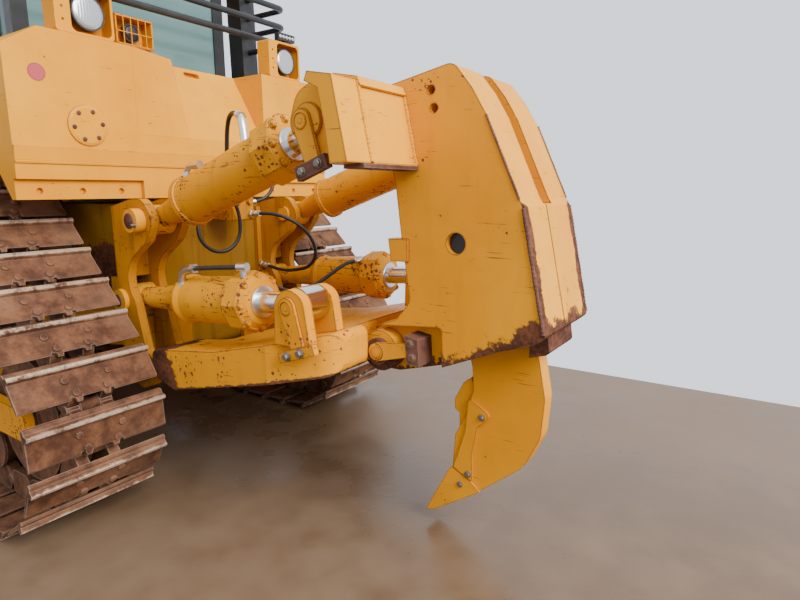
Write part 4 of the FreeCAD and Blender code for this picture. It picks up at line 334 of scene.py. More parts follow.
FINISH = {
    "yellow_paint": paint("yellow_paint", rust=0.12, chips=0.15),
    "tank": paint("tank_paint", rust=0.0, chips=0.0, grime=0.12, edge=0.005),
    "carriage": paint("carriage_paint", rust=0.22, chips=0.32, grime=0.25, zones=BOTTOM_RUST + BLOCK_RUST,
                      edge=0.014),
    "carriage_plain": paint("carriage_plain_paint", rust=0.25, chips=0.3, grime=0.4, edge=0.008),
    "link": paint("link_paint", rust=0.38, chips=0.62, grime=0.35, zones=LINK_RUST, edge=0.014),
    "tilt": paint("tilt_barrel_paint", rust=0.42, chips=0.7, grime=0.9),
    "lift": paint("lift_barrel_paint", rust=0.56, chips=0.9, grime=0.6),
    "shank": paint("shank_paint", rust=0.06, chips=0.1, grime=0.1),
    # Brackets, valve block and main frame: the whole tone darkened as painted shade
    "bracket": paint("bracket_paint", rust=0.36, chips=0.35, grime=1.5, tone=PAINT_SHADED),
    # Rear case: the whole tone darkened as painted shade, and a zone beside the left track darkened as stain
    # and painted shade
    "case": paint("case_paint", rust=0.30, chips=0.2, grime=1.6, tone=PAINT_DEEP_SHADE, zones=CASE_SHADE_AND_STAIN),
    "frame": paint("frame_paint", rust=0.72, chips=0.6, grime=1.6),
    "weld_rust": rusty_steel("weld_rust", WELD_RUST, WELD_RUST_PALE, 0.15),
    "track_steel": rusty_steel("track_rust"),
    "chrome_rod": metal("chrome", (0.72, 0.72, 0.74), 0.12),
    "bare_steel": rusty_steel("bare_steel"),
    "bolt_steel": metal("bolt_steel", (0.20, 0.175, 0.15), 0.45, 0.8),
    "silver": metal("silver_fitting", (0.66, 0.66, 0.64), 0.26),
    "glass": glass("cab_glass"),
    "hose_rubber": black("hose_rubber", 0.5, RUBBER),
    "seat_cloth": black("seat_cloth", 0.85),
    "black_plastic": black("black_plastic", 0.5),
    "black_paint": black("black_paint", 0.4),
    "engine_iron": paint("engine_paint", rust=0.3, grime=0.8),
    "lens": lens("lamp_lens"),
    "red": paint("red_spot", rust=0.0, chips=0.0, grime=0.1, tone=(0.42, 0.075, 0.085)),
}

# Nodes whose finish isn't the one of their slot
NODE_FINISH = {
    "fuel_tank": "tank", "lamp_brackets": "tank", "fenders": "tank",
    "carriage": "carriage", "ripper_link": "link", "tilt_barrels": "tilt", "lift_barrels": "lift",
    "shank": "shank", "shank_protector": "shank", "ripper_tip": "shank",
    "ripper_brackets": "bracket", "valve_block": "bracket", "main_frame": "bracket", "rear_case": "case",
    "track_frame_left": "frame", "track_frame_right": "frame", "belly_guard": "frame", "push_arms": "frame",
    "shank_pin": "black_paint", "rops": "black_paint",
    "carriage_pins": "weld_rust", "ripper_link_pins": "weld_rust",
}


def dress():
    """Gives every CAD node the finish of its slot, or its own from NODE_FINISH."""
    slots = {part["node"]: part["material_slot"] for part in frame["record"]["subparts"]}
    for name, node in NODES.items():
        node.data.materials.clear()
        node.data.materials.append(FINISH[NODE_FINISH.get(name, slots[name])])


# Shapes: each is (points, faces), in millimetres. BACK, LEFT and UP are directions on the machine

ORIGIN = (0, 0, 0)
BACK = (-1, 0, 0)
LEFT = (0, 1, 0)
UP = (0, 0, 1)


def grid(rows, columns, wrap=False):
    """Quads between neighbours in a grid of points, row by row; wrap joins the last column to the first."""
    here = np.arange(rows * columns).reshape(rows, columns)
    after = np.roll(here, -1, axis=1)
    quads = np.stack([here[:-1], after[:-1], after[1:], here[1:]], axis=-1)
    return (quads if wrap else quads[:, :-1]).reshape(-1, 4).tolist()


def unit(vector):
    """The vector divided by its length."""
    vector = np.asarray(vector, float)
    return vector / np.linalg.norm(vector)


def square_to(axis):
    """Two unit vectors at right angles to an axis and to each other."""
    side = unit(np.cross(axis, (0, 0, 1) if abs(axis[2]) < 0.9 else (1, 0, 0)))
    return side, np.cross(axis, side)


def lathe(profile, start, axis, sides=24):
    """Surface of revolution: start + axis * a_i + (side cos t_j + up sin t_j) * r_i for each (a_i, r_i)."""
    axis = unit(axis)
    side, up = square_to(axis)
    turn = np.arange(sides) * 2 * np.pi / sides
    ring = np.cos(turn)[:, None] * side + np.sin(turn)[:, None] * up
    profile = np.asarray(profile, float)
    points = np.asarray(start) + profile[:, :1, None] * axis + profile[:, 1:, None] * ring
    faces = grid(len(profile), sides, wrap=True)
    first = (len(profile) - 1) * sides
    return points.reshape(-1, 3), faces + [list(range(sides))[::-1], list(range(first, first + sides))]


def sweep(path, radius, sides=8):
    """A tube: path_i + (side_i cos t_j + up_i sin t_j) * radius_i, with its ends closed."""
    path = np.asarray(path, float)
    ahead = np.gradient(path, axis=0)
    ahead /= np.linalg.norm(ahead, axis=1)[:, None]
    side = np.cross(ahead, square_to(ahead[0])[0])
    side /= np.linalg.norm(side, axis=1)[:, None]
    up = np.cross(ahead, side)
    turn = np.arange(sides) * 2 * np.pi / sides
    ring = np.cos(turn)[:, None, None] * side + np.sin(turn)[:, None, None] * up
    points = path + ring * np.broadcast_to(radius, len(path))[:, None]
    faces = grid(len(path), sides, wrap=True)
    first = (len(path) - 1) * sides
    caps = [list(range(sides)), list(range(first, first + sides))[::-1]]
    return points.transpose(1, 0, 2).reshape(-1, 3), faces + caps


def prism(outline, plane, low, high):
    """A plate: an outline in a plane ("xz", "xy" or "yz") at two heights across it, and the quads between."""
    outline = np.asarray(outline, float)
    order = {"xz": (0, 2, 1), "xy": (0, 1, 2), "yz": (1, 2, 0)}[plane]
    points = np.zeros((2, len(outline), 3))
    points[:, :, order[0]] = outline[:, 0]
    points[:, :, order[1]] = outline[:, 1]
    points[0, :, order[2]], points[1, :, order[2]] = low, high
    n = len(outline)
    return points.reshape(-1, 3), grid(2, n, wrap=True) + [list(range(n))[::-1], list(range(n, 2 * n))]


def scatter(shape, places):
    """Copies of a shape, moved to each place."""
    points, faces = shape
    places = np.atleast_2d(np.asarray(places, float))
    moved = (points[None] + places[:, None]).reshape(-1, 3)
    return moved, [[v + k * len(points) for v in f] for k in range(len(places)) for f in faces]


def both_sides(*shapes):
    """The shapes and their mirror images in the machine's middle plane."""
    return list(shapes) + [(points * (1, -1, 1), [f[::-1] for f in faces]) for points, faces in shapes]


def bolt(axis, width=30.0, height=18.0):
    """A hexagon head on a washer, at the origin: two surfaces of revolution, with 6 and 14 sides."""
    corner, rim = width * 0.56, width * 0.68
    head = lathe([(3, corner), (height * 0.8, corner), (height, width * 0.46)], ORIGIN, axis, 6)
    washer = lathe([(-2, rim), (3, rim), (4, width * 0.60)], ORIGIN, axis, 14)
    return joined([head, washer])


def ring(count, radius, centre, axis, first=0.0):
    """Places evenly round a circle: centre + radius * (side cos t_j + up sin t_j)."""
    side, up = square_to(unit(axis))
    turn = first + np.arange(count) * 2 * np.pi / count
    return np.asarray(centre) + radius * (np.cos(turn)[:, None] * side + np.sin(turn)[:, None] * up)


def joined(shapes):
    """Several shapes as one: the points in a row, and each shape's faces counted on from the one before."""
    points, faces, start = [], [], 0
    for part_points, part_faces in shapes:
        points.append(part_points)
        faces += [[v + start for v in f] for f in part_faces]
        start += len(part_points)
    return np.concatenate(points), faces


def piece(name, shapes, material, body=None, replaces=(), angle=35.0, worn=None):
    """One mesh object of several shapes, in the part's metres. It rides a body and may replace CAD nodes."""
    points, faces = joined(shapes)
    mesh = bpy.data.meshes.new(name)
    mesh.from_pydata((points * 0.001 + (AXLE, 0.0, 0.0)).tolist(), [], faces)
    mesh.shade_smooth()
    mesh.set_sharp_from_angle(angle=math.radians(angle))
    mesh.materials.append(material)
    if worn is not None:
        mesh.attributes.new("worn", "FLOAT", "POINT").data.foreach_set("value", worn)
    obj = bpy.data.objects.new(name, mesh)
    bpy.context.scene.collection.objects.link(obj)
    if replaces:
        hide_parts(*replaces)
    if body:
        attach(obj, body)
    return obj


# Track

def track_pins():
    """Pin centres (x, z), evenly spaced along the arcs and outer tangents round idler, idler and sprocket."""
    wheels = np.array([(0.0, IDLER_Z, IDLER_R), (IDLER_SPAN, IDLER_Z, IDLER_R), (*SPROCKET, SPROCKET_R)])
    step = np.roll(wheels, -1, axis=0) - wheels
    tilt = np.arcsin(step[:, 2] / np.hypot(*step[:, :2].T))
    leaving = np.arctan2(step[:, 1], step[:, 0]) - tilt - np.pi / 2
    sweep = (leaving - np.roll(leaving, 1)) % (2 * np.pi)
    angle = (leaving - sweep)[:, None] + sweep[:, None] * np.linspace(0, 1, 400)
    path = wheels[:, None, :2] + wheels[:, None, 2:] * np.stack([np.cos(angle), np.sin(angle)], axis=-1)
    path = path.reshape(-1, 2)
    path = np.vstack([path, path[:1]])
    along = np.concatenate([[0], np.cumsum(np.hypot(*np.diff(path, axis=0).T))])
    places = (np.arange(SHOE_COUNT) + SHOE_PHASE) * along[-1] / SHOE_COUNT % along[-1]
    return np.stack([np.interp(places, along, path[:, i]) for i in (0, 1)], axis=-1)


def along_track(s, n, y):
    """Every shoe's copy of some points: the middle between two pins + s * (tx, tz) + n * (tz, -tx), where
    (tx, tz) is the chain's direction there."""
    pins = track_pins()
    step = np.roll(pins, -1, axis=0) - pins
    t = step / np.linalg.norm(step, axis=1)[:, None]
    middle = pins + step / 2
    x = middle[:, :1] + s * t[:, :1] + n * t[:, 1:]
    z = middle[:, 1:] + s * t[:, 1:] - n * t[:, :1]
    return np.stack([x, np.broadcast_to(y, x.shape), z], axis=-1)


def repeated(points, faces):
    """One face list for every shoe's copy of the points."""
    count = points.shape[1]
    return points.reshape(-1, 3), [[v + k * count for v in f] for k in range(len(points)) for f in faces]


# Shoe section from its upper lip round to its underside: s, n, and 1 where s counts from the lower edge
SHOE_SECTION = [
    (-106, 80, 0), (-101, 92, 0), (-90, 97, 0), (-83, 99, 0), (-76, 118, 0), (-73, 124.5, 0), (-60, 125, 0),
    (-55, 121, 0), (-48, 101, 0), (-40, 97, 0), (-8, 97, 1), (0, 91, 1), (-1, 84, 1), (-40, 78, 0),
    (-98, 74, 0)]

# Where bare steel shows on a grouser: from none at the first n to all at the second
GROUSER_WORN = (112.0, 120.0)

# Shoe's stations across the track, from its middle to its end
SHOE_STATIONS = [0, 23, 46, 54, 66, 78, 86, 98, 104, 160, 240, 322, 330]

# Shoe's lower edge: distance from the shoe's middle, and s of the edge, with a hooked notch over each rail
SHOE_EDGE = [(0, 84), (46, 84), (54, 104), (78, 104), (86, 80), (98, 80), (104, 92), (322, 92), (330, 90)]

# Link of a rail seen from the side: s, n
LINK = [(-104, -10), (-96, -40), (-70, -60), (-40, -63), (40, -63), (70, -60), (96, -40), (104, -10),
        (104, 30), (90, 60), (80, 74), (-80, 74), (-90, 60), (-104, 30)]

# Inner and outer face of the links on each side of the chain
LINK_FACES = ((-104, -48), (48, 104))

# Bolts of a shoe: s, and y from the track's middle
SHOE_BOLTS = [(-7, -103), (-7, 103), (62, -73), (62, 73)]


def shoes():
    """Each shoe is its section swept across the track; s of its lower edge is read off SHOE_EDGE there."""
    y = np.array([-t for t in SHOE_STATIONS[:0:-1]] + SHOE_STATIONS, float)
    section = np.array(SHOE_SECTION, float)
    edge = np.interp(np.abs(y), *np.transpose(SHOE_EDGE))
    s = section[:, 0] + section[:, 2] * edge[:, None]
    n = np.broadcast_to(section[:, 1], s.shape)
    points = along_track(s.ravel(), n.ravel(), np.repeat(y, len(section)) + TRACK_Y)
    size = len(section)
    last = (len(y) - 1) * size
    faces = grid(len(y), size, wrap=True) + [list(range(size)), list(range(last, last + size))]
    low, high = GROUSER_WORN
    worn = np.clip((n.ravel() - low) / (high - low), 0, 1)
    return repeated(points, faces), np.tile(worn, SHOE_COUNT)


def track_bolts():
    """Domed nuts on each shoe: eight-sided rings of falling radius up the shoe's normal."""
    turn = np.arange(8) * np.pi / 4
    rings = np.array([(94, 20), (101, 20), (106, 17), (109, 9)], float)
    shapes = []
    for s, t in SHOE_BOLTS:
        points = along_track((s + rings[:, 1:] * np.cos(turn)).ravel(), np.repeat(rings[:, 0], 8),
                             (t + rings[:, 1:] * np.sin(turn)).ravel() + TRACK_Y)
        shapes.append(repeated(points, grid(4, 8, wrap=True) + [list(range(24, 32))]))
    return joined(shapes)


def track_links():
    """Two rails of side links, with the pins' ends outside them and the bushes between."""
    outline = np.array(LINK, float)
    size = len(outline)
    shapes = []
    for faces_y in LINK_FACES:
        s, n = np.tile(outline, (2, 1)).T
        points = along_track(s, n, np.repeat(faces_y, size) + TRACK_Y)
        caps = [list(range(size)), list(range(size, 2 * size))]
        shapes.append(repeated(points, grid(2, size, wrap=True) + caps))
    pins = track_pins()
    places = np.stack([pins[:, 0], np.full(len(pins), TRACK_Y), pins[:, 1]], axis=-1)
    shapes.append(scatter(lathe([(-48, 31), (48, 31)], ORIGIN, LEFT, 16), places))
    shapes.append(scatter(lathe([(-110, 20), (-110, 24), (110, 24), (110, 20)], ORIGIN, LEFT, 12), places))
    return joined(shapes)


def tracks(rust):
    """Both tracks: shoes in place of the CAD's, with bolts and links. The right one has y turned round."""
    (points, faces), worn = shoes()
    for name, flip in (("left", 1), ("right", -1)):
        turned = points * (1, flip, 1)
        piece(f"track_shoes_{name}", [(turned, faces)], rust, "root", [f"track_{name}"], angle=28, worn=worn)
        for part, (p, f) in (("bolts", track_bolts()), ("links", track_links())):
            piece(f"track_{part}_{name}", [(p * (1, flip, 1), f)], rust, "root")


# Hoses: the body each one rides, its real length in metres, and its route, repeated from the CAD

HOSES = {
    "hose_valve_left": ("root", 1.18, [
        (-235, 76, 1555), (-238, 174, 1556), (-250, 246, 1487), (-268, 250, 1387), (-288, 180, 1315),
        (-308, 80, 1311), (-325, 6, 1381), (-338, 2, 1482), (-346, 30, 1580), (-344, 94, 1658),
        (-332, 172, 1698), (-312, 255, 1684), (-298, 311, 1645), (-287, 364, 1622)]),
    "hose_valve_right": ("root", 1.08, [
        (-345, -115, 1530), (-430, -122, 1536), (-510, -158, 1524), (-578, -218, 1482), (-622, -283, 1412),
        (-632, -335, 1325), (-602, -362, 1237), (-530, -368, 1180), (-440, -364, 1160), (-350, -372, 1146),
        (-260, -371, 1148), (-180, -380, 1160), (-118, -384, 1169)]),
    "hose_valve_high": ("root", 0.44, [
        (-220, -190, 1598), (-228, -262, 1606), (-245, -325, 1642), (-256, -362, 1706), (-242, -378, 1778),
        (-196, -382, 1836), (-126, -383, 1858)]),
    "hose_lift": ("lift_barrels", 0.89, [
        (-800, 425, 1222), (-812, 345, 1225), (-838, 252, 1178), (-848, 150, 1128), (-842, 40, 1108),
        (-852, -70, 1128), (-872, -170, 1172), (-888, -262, 1218), (-896, -345, 1243), (-902, -415, 1240)]),
    "hose_tilt": ("tilt_barrels", 0.60, [
        (-940, 488, 2008), (-875, 464, 2034), (-800, 432, 2024), (-742, 400, 1974), (-704, 376, 1902),
        (-678, 360, 1826), (-655, 354, 1752), (-628, 350, 1692), (-622, 351, 1634)]),
}

# Crimped end of each hose: length behind the route's first and last point, and where an elbow bends to
HOSE_ENDS = {
    "hose_valve_left": ((52, None), (48, None)),
    "hose_valve_right": ((50, None), (53, None)),
    "hose_valve_high": ((55, None), (78, None)),
    "hose_lift": ((45, None), (65, None)),
    "hose_tilt": ((20, (-985, 504, 1870)), (20, (-615, 415, 1600))),
}


def ferrule(mouth, inside, length):
    """The crimped ferrule over a hose's end and the hexagon nut behind it: two surfaces of revolution."""
    away = unit(np.subtract(mouth, inside))
    nut = length * 0.45
    crimp = lathe([(-34, 15), (-33, 17.5), (-22, 17.5), (-19, 15.5), (-15, 17.5), (-9, 15.5), (-4, 18.6),
                   (nut, 18.6), (nut + 2, 15)], mouth, away, 20)
    return joined([crimp, lathe([(nut, 22), (nut + 2, 24), (length - 2, 24)], mouth, away, 6)])


def elbow(mouth, inside, length, foot):
    """A bent fitting from a hose's ferrule to a nut on the barrel, a tube along (1 - t)^2 mouth + 2 t (1 - t)
    turn + t^2 foot, where the turn lies straight ahead of the mouth."""
    mouth, foot = np.asarray(mouth, float), np.asarray(foot, float)
    turn = mouth + unit(np.subtract(mouth, inside)) * length * 1.4
    share = np.linspace(0, 1, 12)[:, None]
    bend = (1 - share) ** 2 * mouth + 2 * share * (1 - share) * turn + share ** 2 * foot
    return joined([sweep(bend, 19.0, 14), lathe([(-4, 26), (14, 26), (16, 23)], foot, unit(turn - foot), 6)])


def hoses(rubber, silver):
    """Each hose as a curve through its route, with its ferrules and elbows."""
    for name, (body, real_length, route) in HOSES.items():
        data = bpy.data.curves.new(name, "CURVE")
        data.dimensions = "3D"
        spline = data.splines.new("NURBS")
        spline.points.add(len(route) - 1)
        for point, (x, y, z) in zip(spline.points, route):
            point.co = (x * 0.001 + AXLE, y * 0.001, z * 0.001, 1.0)
        spline.order_u = 3
        spline.use_endpoint_u = True
        spline.resolution_u = 8
        data.bevel_depth = HOSE_R * 0.001
        data.bevel_resolution = 4
        data.materials.append(rubber)
        hose = bpy.data.objects.new(name, data)
        bpy.context.scene.collection.objects.link(hose)
        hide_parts(name)
        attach(hose, body)
        mouths = ((route[0], route[1]), (route[-1], route[-2]))
        fittings = list(zip(mouths, HOSE_ENDS[name]))
        ferrules = [ferrule(*mouth, length) for mouth, (length, _) in fittings]
        elbows = [elbow(*mouth, length, foot) for mouth, (length, foot) in fittings if foot]
        ends = piece(name + "_ends", ferrules, silver, body)
        if elbows:
            piece(name + "_elbows", elbows, silver, body)
        x, y, z = route[0]
        x * 0.001 + AXLE
        y * 0.001
        z * 0.001


# Fittings. A barrel's lengths count along its axis from its base pin. A pin's flag is the flat lock on its
# end, and the keeper is the bolted bar across the flag's foot

TILT_AXIS = unit((-1200.0, 0.0, 410.0))
TILT_BASE = np.array((-300.0, 520.0, 1520.0))
TILT_HEAD = (926.0, 1050.0)
TILT_TOP = np.array((0.3233, 0.0, 0.9463))
TILT_PIN_END = TILT_BASE + (0, 173, 0)
TILT_FLAG = (-1500.0, 680.0, 1930.0)
TILT_KEEPER_Y = 700.0
LIFT_AXIS = unit((-1270.0, 0.0, 92.0))
LIFT_BASE = np.array((-80.0, 520.0, 1080.0))
LIFT_HEAD = (864.0, 968.0)
LIFT_PIN_END = LIFT_BASE + (0, 145, 0)
LIFT_FLAG = (-1350.0, 652.0, 1172.0)
LIFT_KEEPER_Y = 671.0
REAR_PIN = (-1573.0, 302.0, 934.0)
SHANK_SIDE = 57.0

# Tank: its rear face and half width, and the cover of the filler
TANK_REAR = -60.0
TANK_HALF_W = 1088.0
FILLER = (-74.0, 726.0, 2000.0)

# Crossbar on each side: its rear face's upper and lower edge, and y of that face's two ends
CROSSBAR_TOP = np.array((-1708, 0, 2068))
CROSSBAR_FOOT = np.array((-1772, 0, 1770))
CROSSBAR_Y = (279, 586)

# Lamps: x, y, z of the lens's rim, and its radius. The LED bar's lenses share x and z
LAMPS = [(25.7, 620.0, 2576.5, 79.0), (25.7, -795.0, 2576.5, 79.0), (45.7, 372.0, 2531.5, 42.0)]
LED_BAR = [(10, y, 2740) for y in (-865, -835, -805, -775, -745)]


def tilt_barrels():
    """The upper barrels as surfaces of revolution: neck, collar, tube, eight-sided head and the eye."""
    low, high = TILT_HEAD
    tube = lathe([(10, 52), (255, 74), (300, 112), (302, 128), (330, 128), (333, 117), (935, 117)],
                 TILT_BASE, TILT_AXIS, 48)
    eye = lathe([(-58, 74), (-54, 78), (54, 78), (58, 74)], TILT_BASE, LEFT, 40)
    head = lathe([(low, 136), (low + 5, 142), (high - 6, 142), (high, 137)], TILT_BASE, TILT_AXIS, 8)
    nuts = scatter(bolt(TILT_AXIS, 30, 18), ring(8, 117, TILT_BASE + TILT_AXIS * high, TILT_AXIS))
    top_nuts = [lathe([(0, 22), (16, 22), (18, 18)], TILT_BASE + TILT_AXIS * along + TILT_TOP * 131,
                      TILT_TOP, 6) for along in (965, 1015)]
    piece("tilt_barrel_tubes", both_sides(tube, eye, head, nuts, *top_nuts), FINISH["tilt"], "tilt_barrels",
          ["tilt_barrels"])


def tilt_fittings(silver):
    """The elbow on the left tilt barrel, a bent tube between two nuts, and the glands round the rods."""
    bend = [(-598, 545, 1730), (-600, 546, 1766), (-614, 547, 1784), (-640, 548, 1791), (-700, 549, 1792)]
    port = [sweep(bend, 16, 14), lathe([(0, 24), (20, 24)], (-598, 545, 1738), UP, 6),
            lathe([(0, 23), (20, 23)], (-690, 549, 1792), BACK, 6)]
    piece("tilt_port", port, silver, "tilt_barrels")
    gland = lathe([(1046, 76), (1060, 74), (1063, 70), (1063, 56)], TILT_BASE, TILT_AXIS, 32)
    piece("tilt_glands", both_sides(gland), silver, "tilt_barrels")


def tank_fittings():
    """Bolts of the filler's cover, the folded strip across the tank's foot, and the round spot above."""
    cover = scatter(bolt(BACK, 17, 9), ring(6, 74, FILLER, BACK, 0.15))
    piece("tank_cover_bolts", [cover], FINISH["weld_rust"], "root")
    fold = [(-60.2, 1887), (-70, 1881), (-61.5, 1817), (-69, 1811), (-67, 1803), (-60.2, 1802)]
    piece("tank_fold", [prism(fold, "xz", -TANK_HALF_W, TANK_HALF_W)], FINISH["tank"], "root")
    spot = lathe([(0, 41), (1.0, 41)], (TANK_REAR, 945, 2228), BACK, 32)
    piece("tank_spot", [spot], FINISH["red"], "root")


def base_pin_ends(steel):
    """The rusty ends of the cylinders' base pins, and the grease nipple on the left one."""
    ends = [lathe([(0, 40), (4, 40), (6, 36)], TILT_PIN_END, LEFT, 28),
            lathe([(0, 34), (4, 34), (6, 30)], LIFT_PIN_END, LEFT, 28)]
    piece("pin_ends", both_sides(*ends), FINISH["weld_rust"], "root")
    nipple = lathe([(0, 13), (10, 13), (11, 8), (22, 7), (24, 4)], TILT_PIN_END + (-52, 0, -20), LEFT, 10)
    piece("grease_nipple", [nipple], steel, "root")


def rear_pin_locks():
    """The link's rear pins: a flag with a round head on each, and the keeper that holds its tail."""
    flag = [prism([(-1573, 979), (-1744, 1000), (-1744, 935), (-1573, 889)], "xz", 302, 314),
            lathe([(0, 40), (12, 40), (14, 37)], REAR_PIN, LEFT, 28),
            lathe([(0, 27), (15, 27), (16, 23), (13, 23)], REAR_PIN, LEFT, 28)]
    piece("carriage_locks", both_sides(*flag), FINISH["carriage_plain"], "carriage")
    keeper = [prism([(-1734, 1035), (-1804, 1024), (-1811, 904), (-1749, 908)], "xz", 200, 318),
              scatter(bolt(LEFT, 30, 14), [(-1764, 318, 1002), (-1776, 318, 940)])]
    piece("rear_keepers", both_sides(*keeper), FINISH["weld_rust"], "carriage")


def flag_rings():
    """The turned rings on the flags of the rods' pins."""
    ring_out = lathe([(-4, 33), (3, 33), (5, 30), (2, 28), (2, 12), (4, 10)], TILT_FLAG, LEFT, 32)
    piece("tilt_pin_rings", both_sides(ring_out), FINISH["carriage_plain"], "carriage")
    ring_out = lathe([(-6, 33), (2, 33), (4, 30), (1, 28), (1, 12), (3, 10)], LIFT_FLAG, LEFT, 32)
    piece("lift_pin_rings", both_sides(ring_out), FINISH["link"], "ripper_link")


def keeper_bolts(steel):
    """Bolts of the keepers at the rods' pins, and of the shank's protector and tip."""
    lift = scatter(bolt(LEFT), [(-1364, LIFT_KEEPER_Y, 966), (-1442, LIFT_KEEPER_Y, 992)])
    piece("link_bolts", both_sides(lift), steel, "ripper_link")
    tilt = scatter(bolt(LEFT, 28, 16), [(-1520, TILT_KEEPER_Y, 1737), (-1604, TILT_KEEPER_Y, 1767)])
    piece("carriage_bolts", both_sides(tilt), steel, "carriage")
    shank = [scatter(bolt(LEFT, 25, 11), [(-1994, SHANK_SIDE, 620), (-1927, SHANK_SIDE, 317)]),
             scatter(bolt(LEFT, 23, 10), [(-1885, SHANK_SIDE, 252)])]
    piece("shank_bolts", both_sides(*shank), steel, "carriage")


def lift_heads():
    """The lower barrels' eight-sided heads with their bolts, and the glands round the rods."""
    low, high = LIFT_HEAD
    head = lathe([(low, 146), (low + 4, 150), (high - 6, 150), (high, 145)], LIFT_BASE, LIFT_AXIS, 8)
    nuts = scatter(bolt(LIFT_AXIS, 30, 18), ring(8, 124, LIFT_BASE + LIFT_AXIS * high, LIFT_AXIS))
    piece("lift_heads", both_sides(head, nuts), FINISH["lift"], "lift_barrels")
    gland = lathe([(986, 78), (1000, 76), (1002, 70), (1002, 56)], LIFT_BASE, LIFT_AXIS, 32)
    piece("lift_glands", both_sides(gland), FINISH["silver"], "lift_barrels")


def lift_pipe(silver, rubber):
    """The pipe along the left lift barrel, between a silver elbow and a silver tee on the head."""
    bend = [(-560, 592, 1196), (-562, 594, 1232), (-580, 597, 1268), (-620, 600, 1284), (-668, 600, 1290)]
    tee = [(-985, 586, 1318), (-1040, 580, 1322)]
    stem = [(-1012, 580, 1272), (-1012, 583, 1320)]
    nut = [(0, 25), (22, 25)]
    shapes = [sweep(bend, 19, 14), sweep(tee, 20, 14), sweep(stem, 17, 14),
              lathe(nut, (-560, 592, 1186), UP, 6), lathe(nut, (-660, 600, 1290), (-1, 0, 0.06), 6)]
    piece("lift_pipe_ends", shapes, silver, "lift_barrels")
    pipe = [(-660, 600, 1290), (-830, 596, 1306), (-990, 586, 1318)]
    piece("lift_pipe", [sweep(pipe, 12, 14)], rubber, "lift_barrels")


def bead(start, end, radius=6.0, sides=8):
    """A weld bead: a straight tube, whose radius is radius * (1 + two sines of the length run)."""
    start, end = np.asarray(start, float), np.asarray(end, float)
    length = np.linalg.norm(end - start)
    share = np.linspace(0, 1, max(int(length / 5), 3))[:, None]
    run = share[:, 0] * length
    swing = 1 + 0.16 * np.sin(run / 2.6) + 0.10 * np.sin(run / 17.0 + start[1])
    return sweep(start + (end - start) * share, radius * swing, sides)


def welds(material):
    """Weld beads round the crossbar's rear face, and the lip along its top edge."""
    near, far = (np.array((0, y, 0)) for y in CROSSBAR_Y)
    beads = [bead(CROSSBAR_TOP + end, CROSSBAR_FOOT + end, 8) for end in (near, far)]
    beads += [bead(CROSSBAR_FOOT + near, CROSSBAR_FOOT + far, 9)]
    lip = [(-1724, 2052), (-1707, 2086), (-1592, 2109), (-1590, 2095), (-1702, 2073), (-1714, 2048)]
    piece("crossbar_welds", both_sides(*beads, prism(lip, "xz", 276, 590)), material, "carriage")


def rusty_edges(rust):
    """The crossbar's rusty bottom plate and keeper covers, and the beads down the wear block."""
    under = prism([(-1780, 1765), (-1684, 1762), (-1684, 1746), (-1782, 1748)], "xz", 274, 648)
    along, side = unit((-62.0, -178.0)), unit((178.0, -62.0))
    corners = [np.array((-1562, 1752)) + side * s * 81 + along * t * 27
               for s, t in ((1, -1), (-1, -1), (-1, 1), (1, 1))]
    piece("crossbar_rust", both_sides(under, prism(corners, "xz", 668, 700)), rust, "carriage")
    block = [bead((-2252, 274, 1596), (-2352, 274, 1112), 8), bead((-2088, 273, 1952), (-2236, 273, 1628), 5)]
    piece("carriage_welds", both_sides(*block), rust, "carriage")


def lamps(lens, dark):
    """Lenses domed by 6 + 10 * sqrt(1 - share^2) at a share of their radius, and the LED bar's row."""
    share = np.linspace(0, 1, 9)[::-1]
    domes = []
    for x, y, z, radius in LAMPS:
        dome = np.stack([6 + 10 * np.sqrt(1 - share ** 2), radius * share], axis=-1)
        domes.append(lathe(np.vstack([(0, radius), dome[:-1]]), (x, y, z), BACK, 40))
    row = scatter(lathe([(0, 13), (2, 13), (5, 9)], ORIGIN, BACK, 16), LED_BAR)
    piece("lamp_lenses", domes[:2] + [row], lens, "root", angle=60)
    piece("cage_lamp_lens", domes[2:], dark, "root", angle=60)


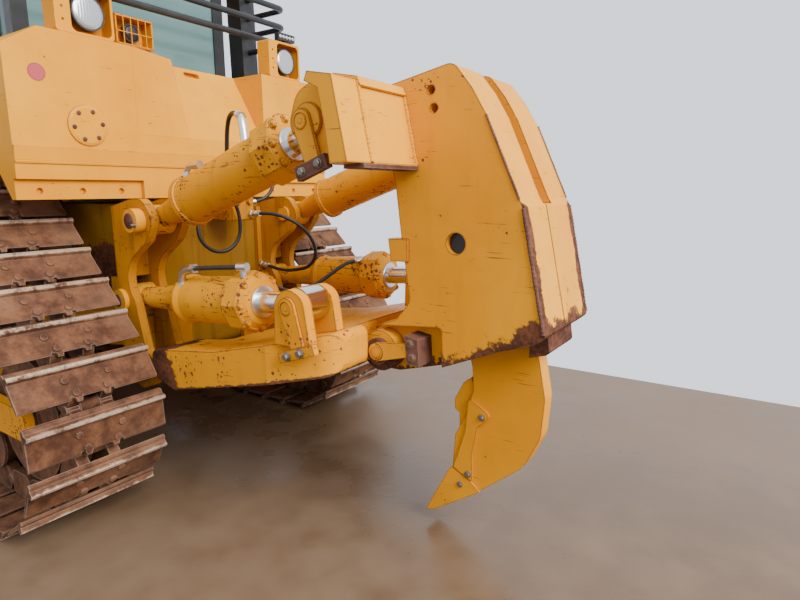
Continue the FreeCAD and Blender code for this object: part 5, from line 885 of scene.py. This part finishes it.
def camera():
    """The photograph's camera, aimed by its yaw, pitch and roll."""
    yaw, pitch, roll = (math.radians(v) for v in (CAMERA_YAW, -CAMERA_PITCH, CAMERA_ROLL))
    ahead = Vector((math.cos(yaw) * math.cos(pitch), math.sin(yaw) * math.cos(pitch), math.sin(pitch)))
    right = ahead.cross(Vector((0, 0, 1))).normalized()
    up = right.cross(ahead)
    right, up = right * math.cos(roll) + up * math.sin(roll), up * math.cos(roll) - right * math.sin(roll)
    data = bpy.data.cameras.new("camera")
    data.lens = CAMERA_LENS
    data.sensor_width = 36.0
    data.clip_end = 200.0
    obj = bpy.data.objects.new("camera", data)
    turn = Matrix((right, up, -ahead)).transposed().to_4x4()
    obj.matrix_world = Matrix.Translation(CAMERA_PLACE) @ turn
    bpy.context.scene.collection.objects.link(obj)
    bpy.context.scene.camera = obj


def key_light():
    """The broad soft lamp."""
    data = bpy.data.lights.new("key", "AREA")
    data.shape = "RECTANGLE"
    data.size, data.size_y = KEY_SIZE
    data.energy = KEY_POWER
    data.color = KEY_COLOUR
    obj = bpy.data.objects.new("key", data)
    obj.location = KEY_PLACE
    obj.rotation_euler = (Vector(KEY_TARGET) - Vector(KEY_PLACE)).to_track_quat("-Z", "Y").to_euler()
    bpy.context.scene.collection.objects.link(obj)


def sky():
    """An even pale sky, which is the wall behind the machine too."""
    world = bpy.data.worlds.new("studio")
    bpy.context.scene.world = world
    world.use_nodes = True
    background = world.node_tree.nodes["Background"]
    background.inputs[0].default_value = SKY
    background.inputs[1].default_value = SKY_STRENGTH


def wet_floor():
    """Brown concrete with wet, smoother patches."""
    floor = bpy.data.meshes.new("floor")
    floor.from_pydata(FLOOR, [], [(0, 1, 2, 3)])
    obj = bpy.data.objects.new("floor", floor)
    bpy.context.scene.collection.objects.link(obj)
    m = Material("floor")
    tone = m.noise(0.7, 5.0, 0.6)
    wet = (m.noise(0.35, 4.0, 0.6, shift=7.0) + (m.noise(5.0, 3.0) - 0.5) * 0.3).step(0.35, 0.65)
    shade = m.mix(tone, CONCRETE, CONCRETE_PALE)
    shade = m.mix(wet * 0.6, shade, CONCRETE_WET)
    floor.materials.append(m.finish(Base_Color=shade, Roughness=0.52 - wet * 0.30))


camera()
sky()
key_light()
wet_floor()
dress()
hoses(FINISH["hose_rubber"], FINISH["silver"])
tracks(FINISH["track_steel"])
tilt_barrels()
tilt_fittings(FINISH["silver"])
tank_fittings()
base_pin_ends(FINISH["bolt_steel"])
rear_pin_locks()
flag_rings()
keeper_bolts(FINISH["bolt_steel"])
lift_heads()
lift_pipe(FINISH["silver"], FINISH["hose_rubber"])
welds(FINISH["carriage_plain"])
rusty_edges(FINISH["weld_rust"])
lamps(FINISH["lens"], FINISH["black_plastic"])
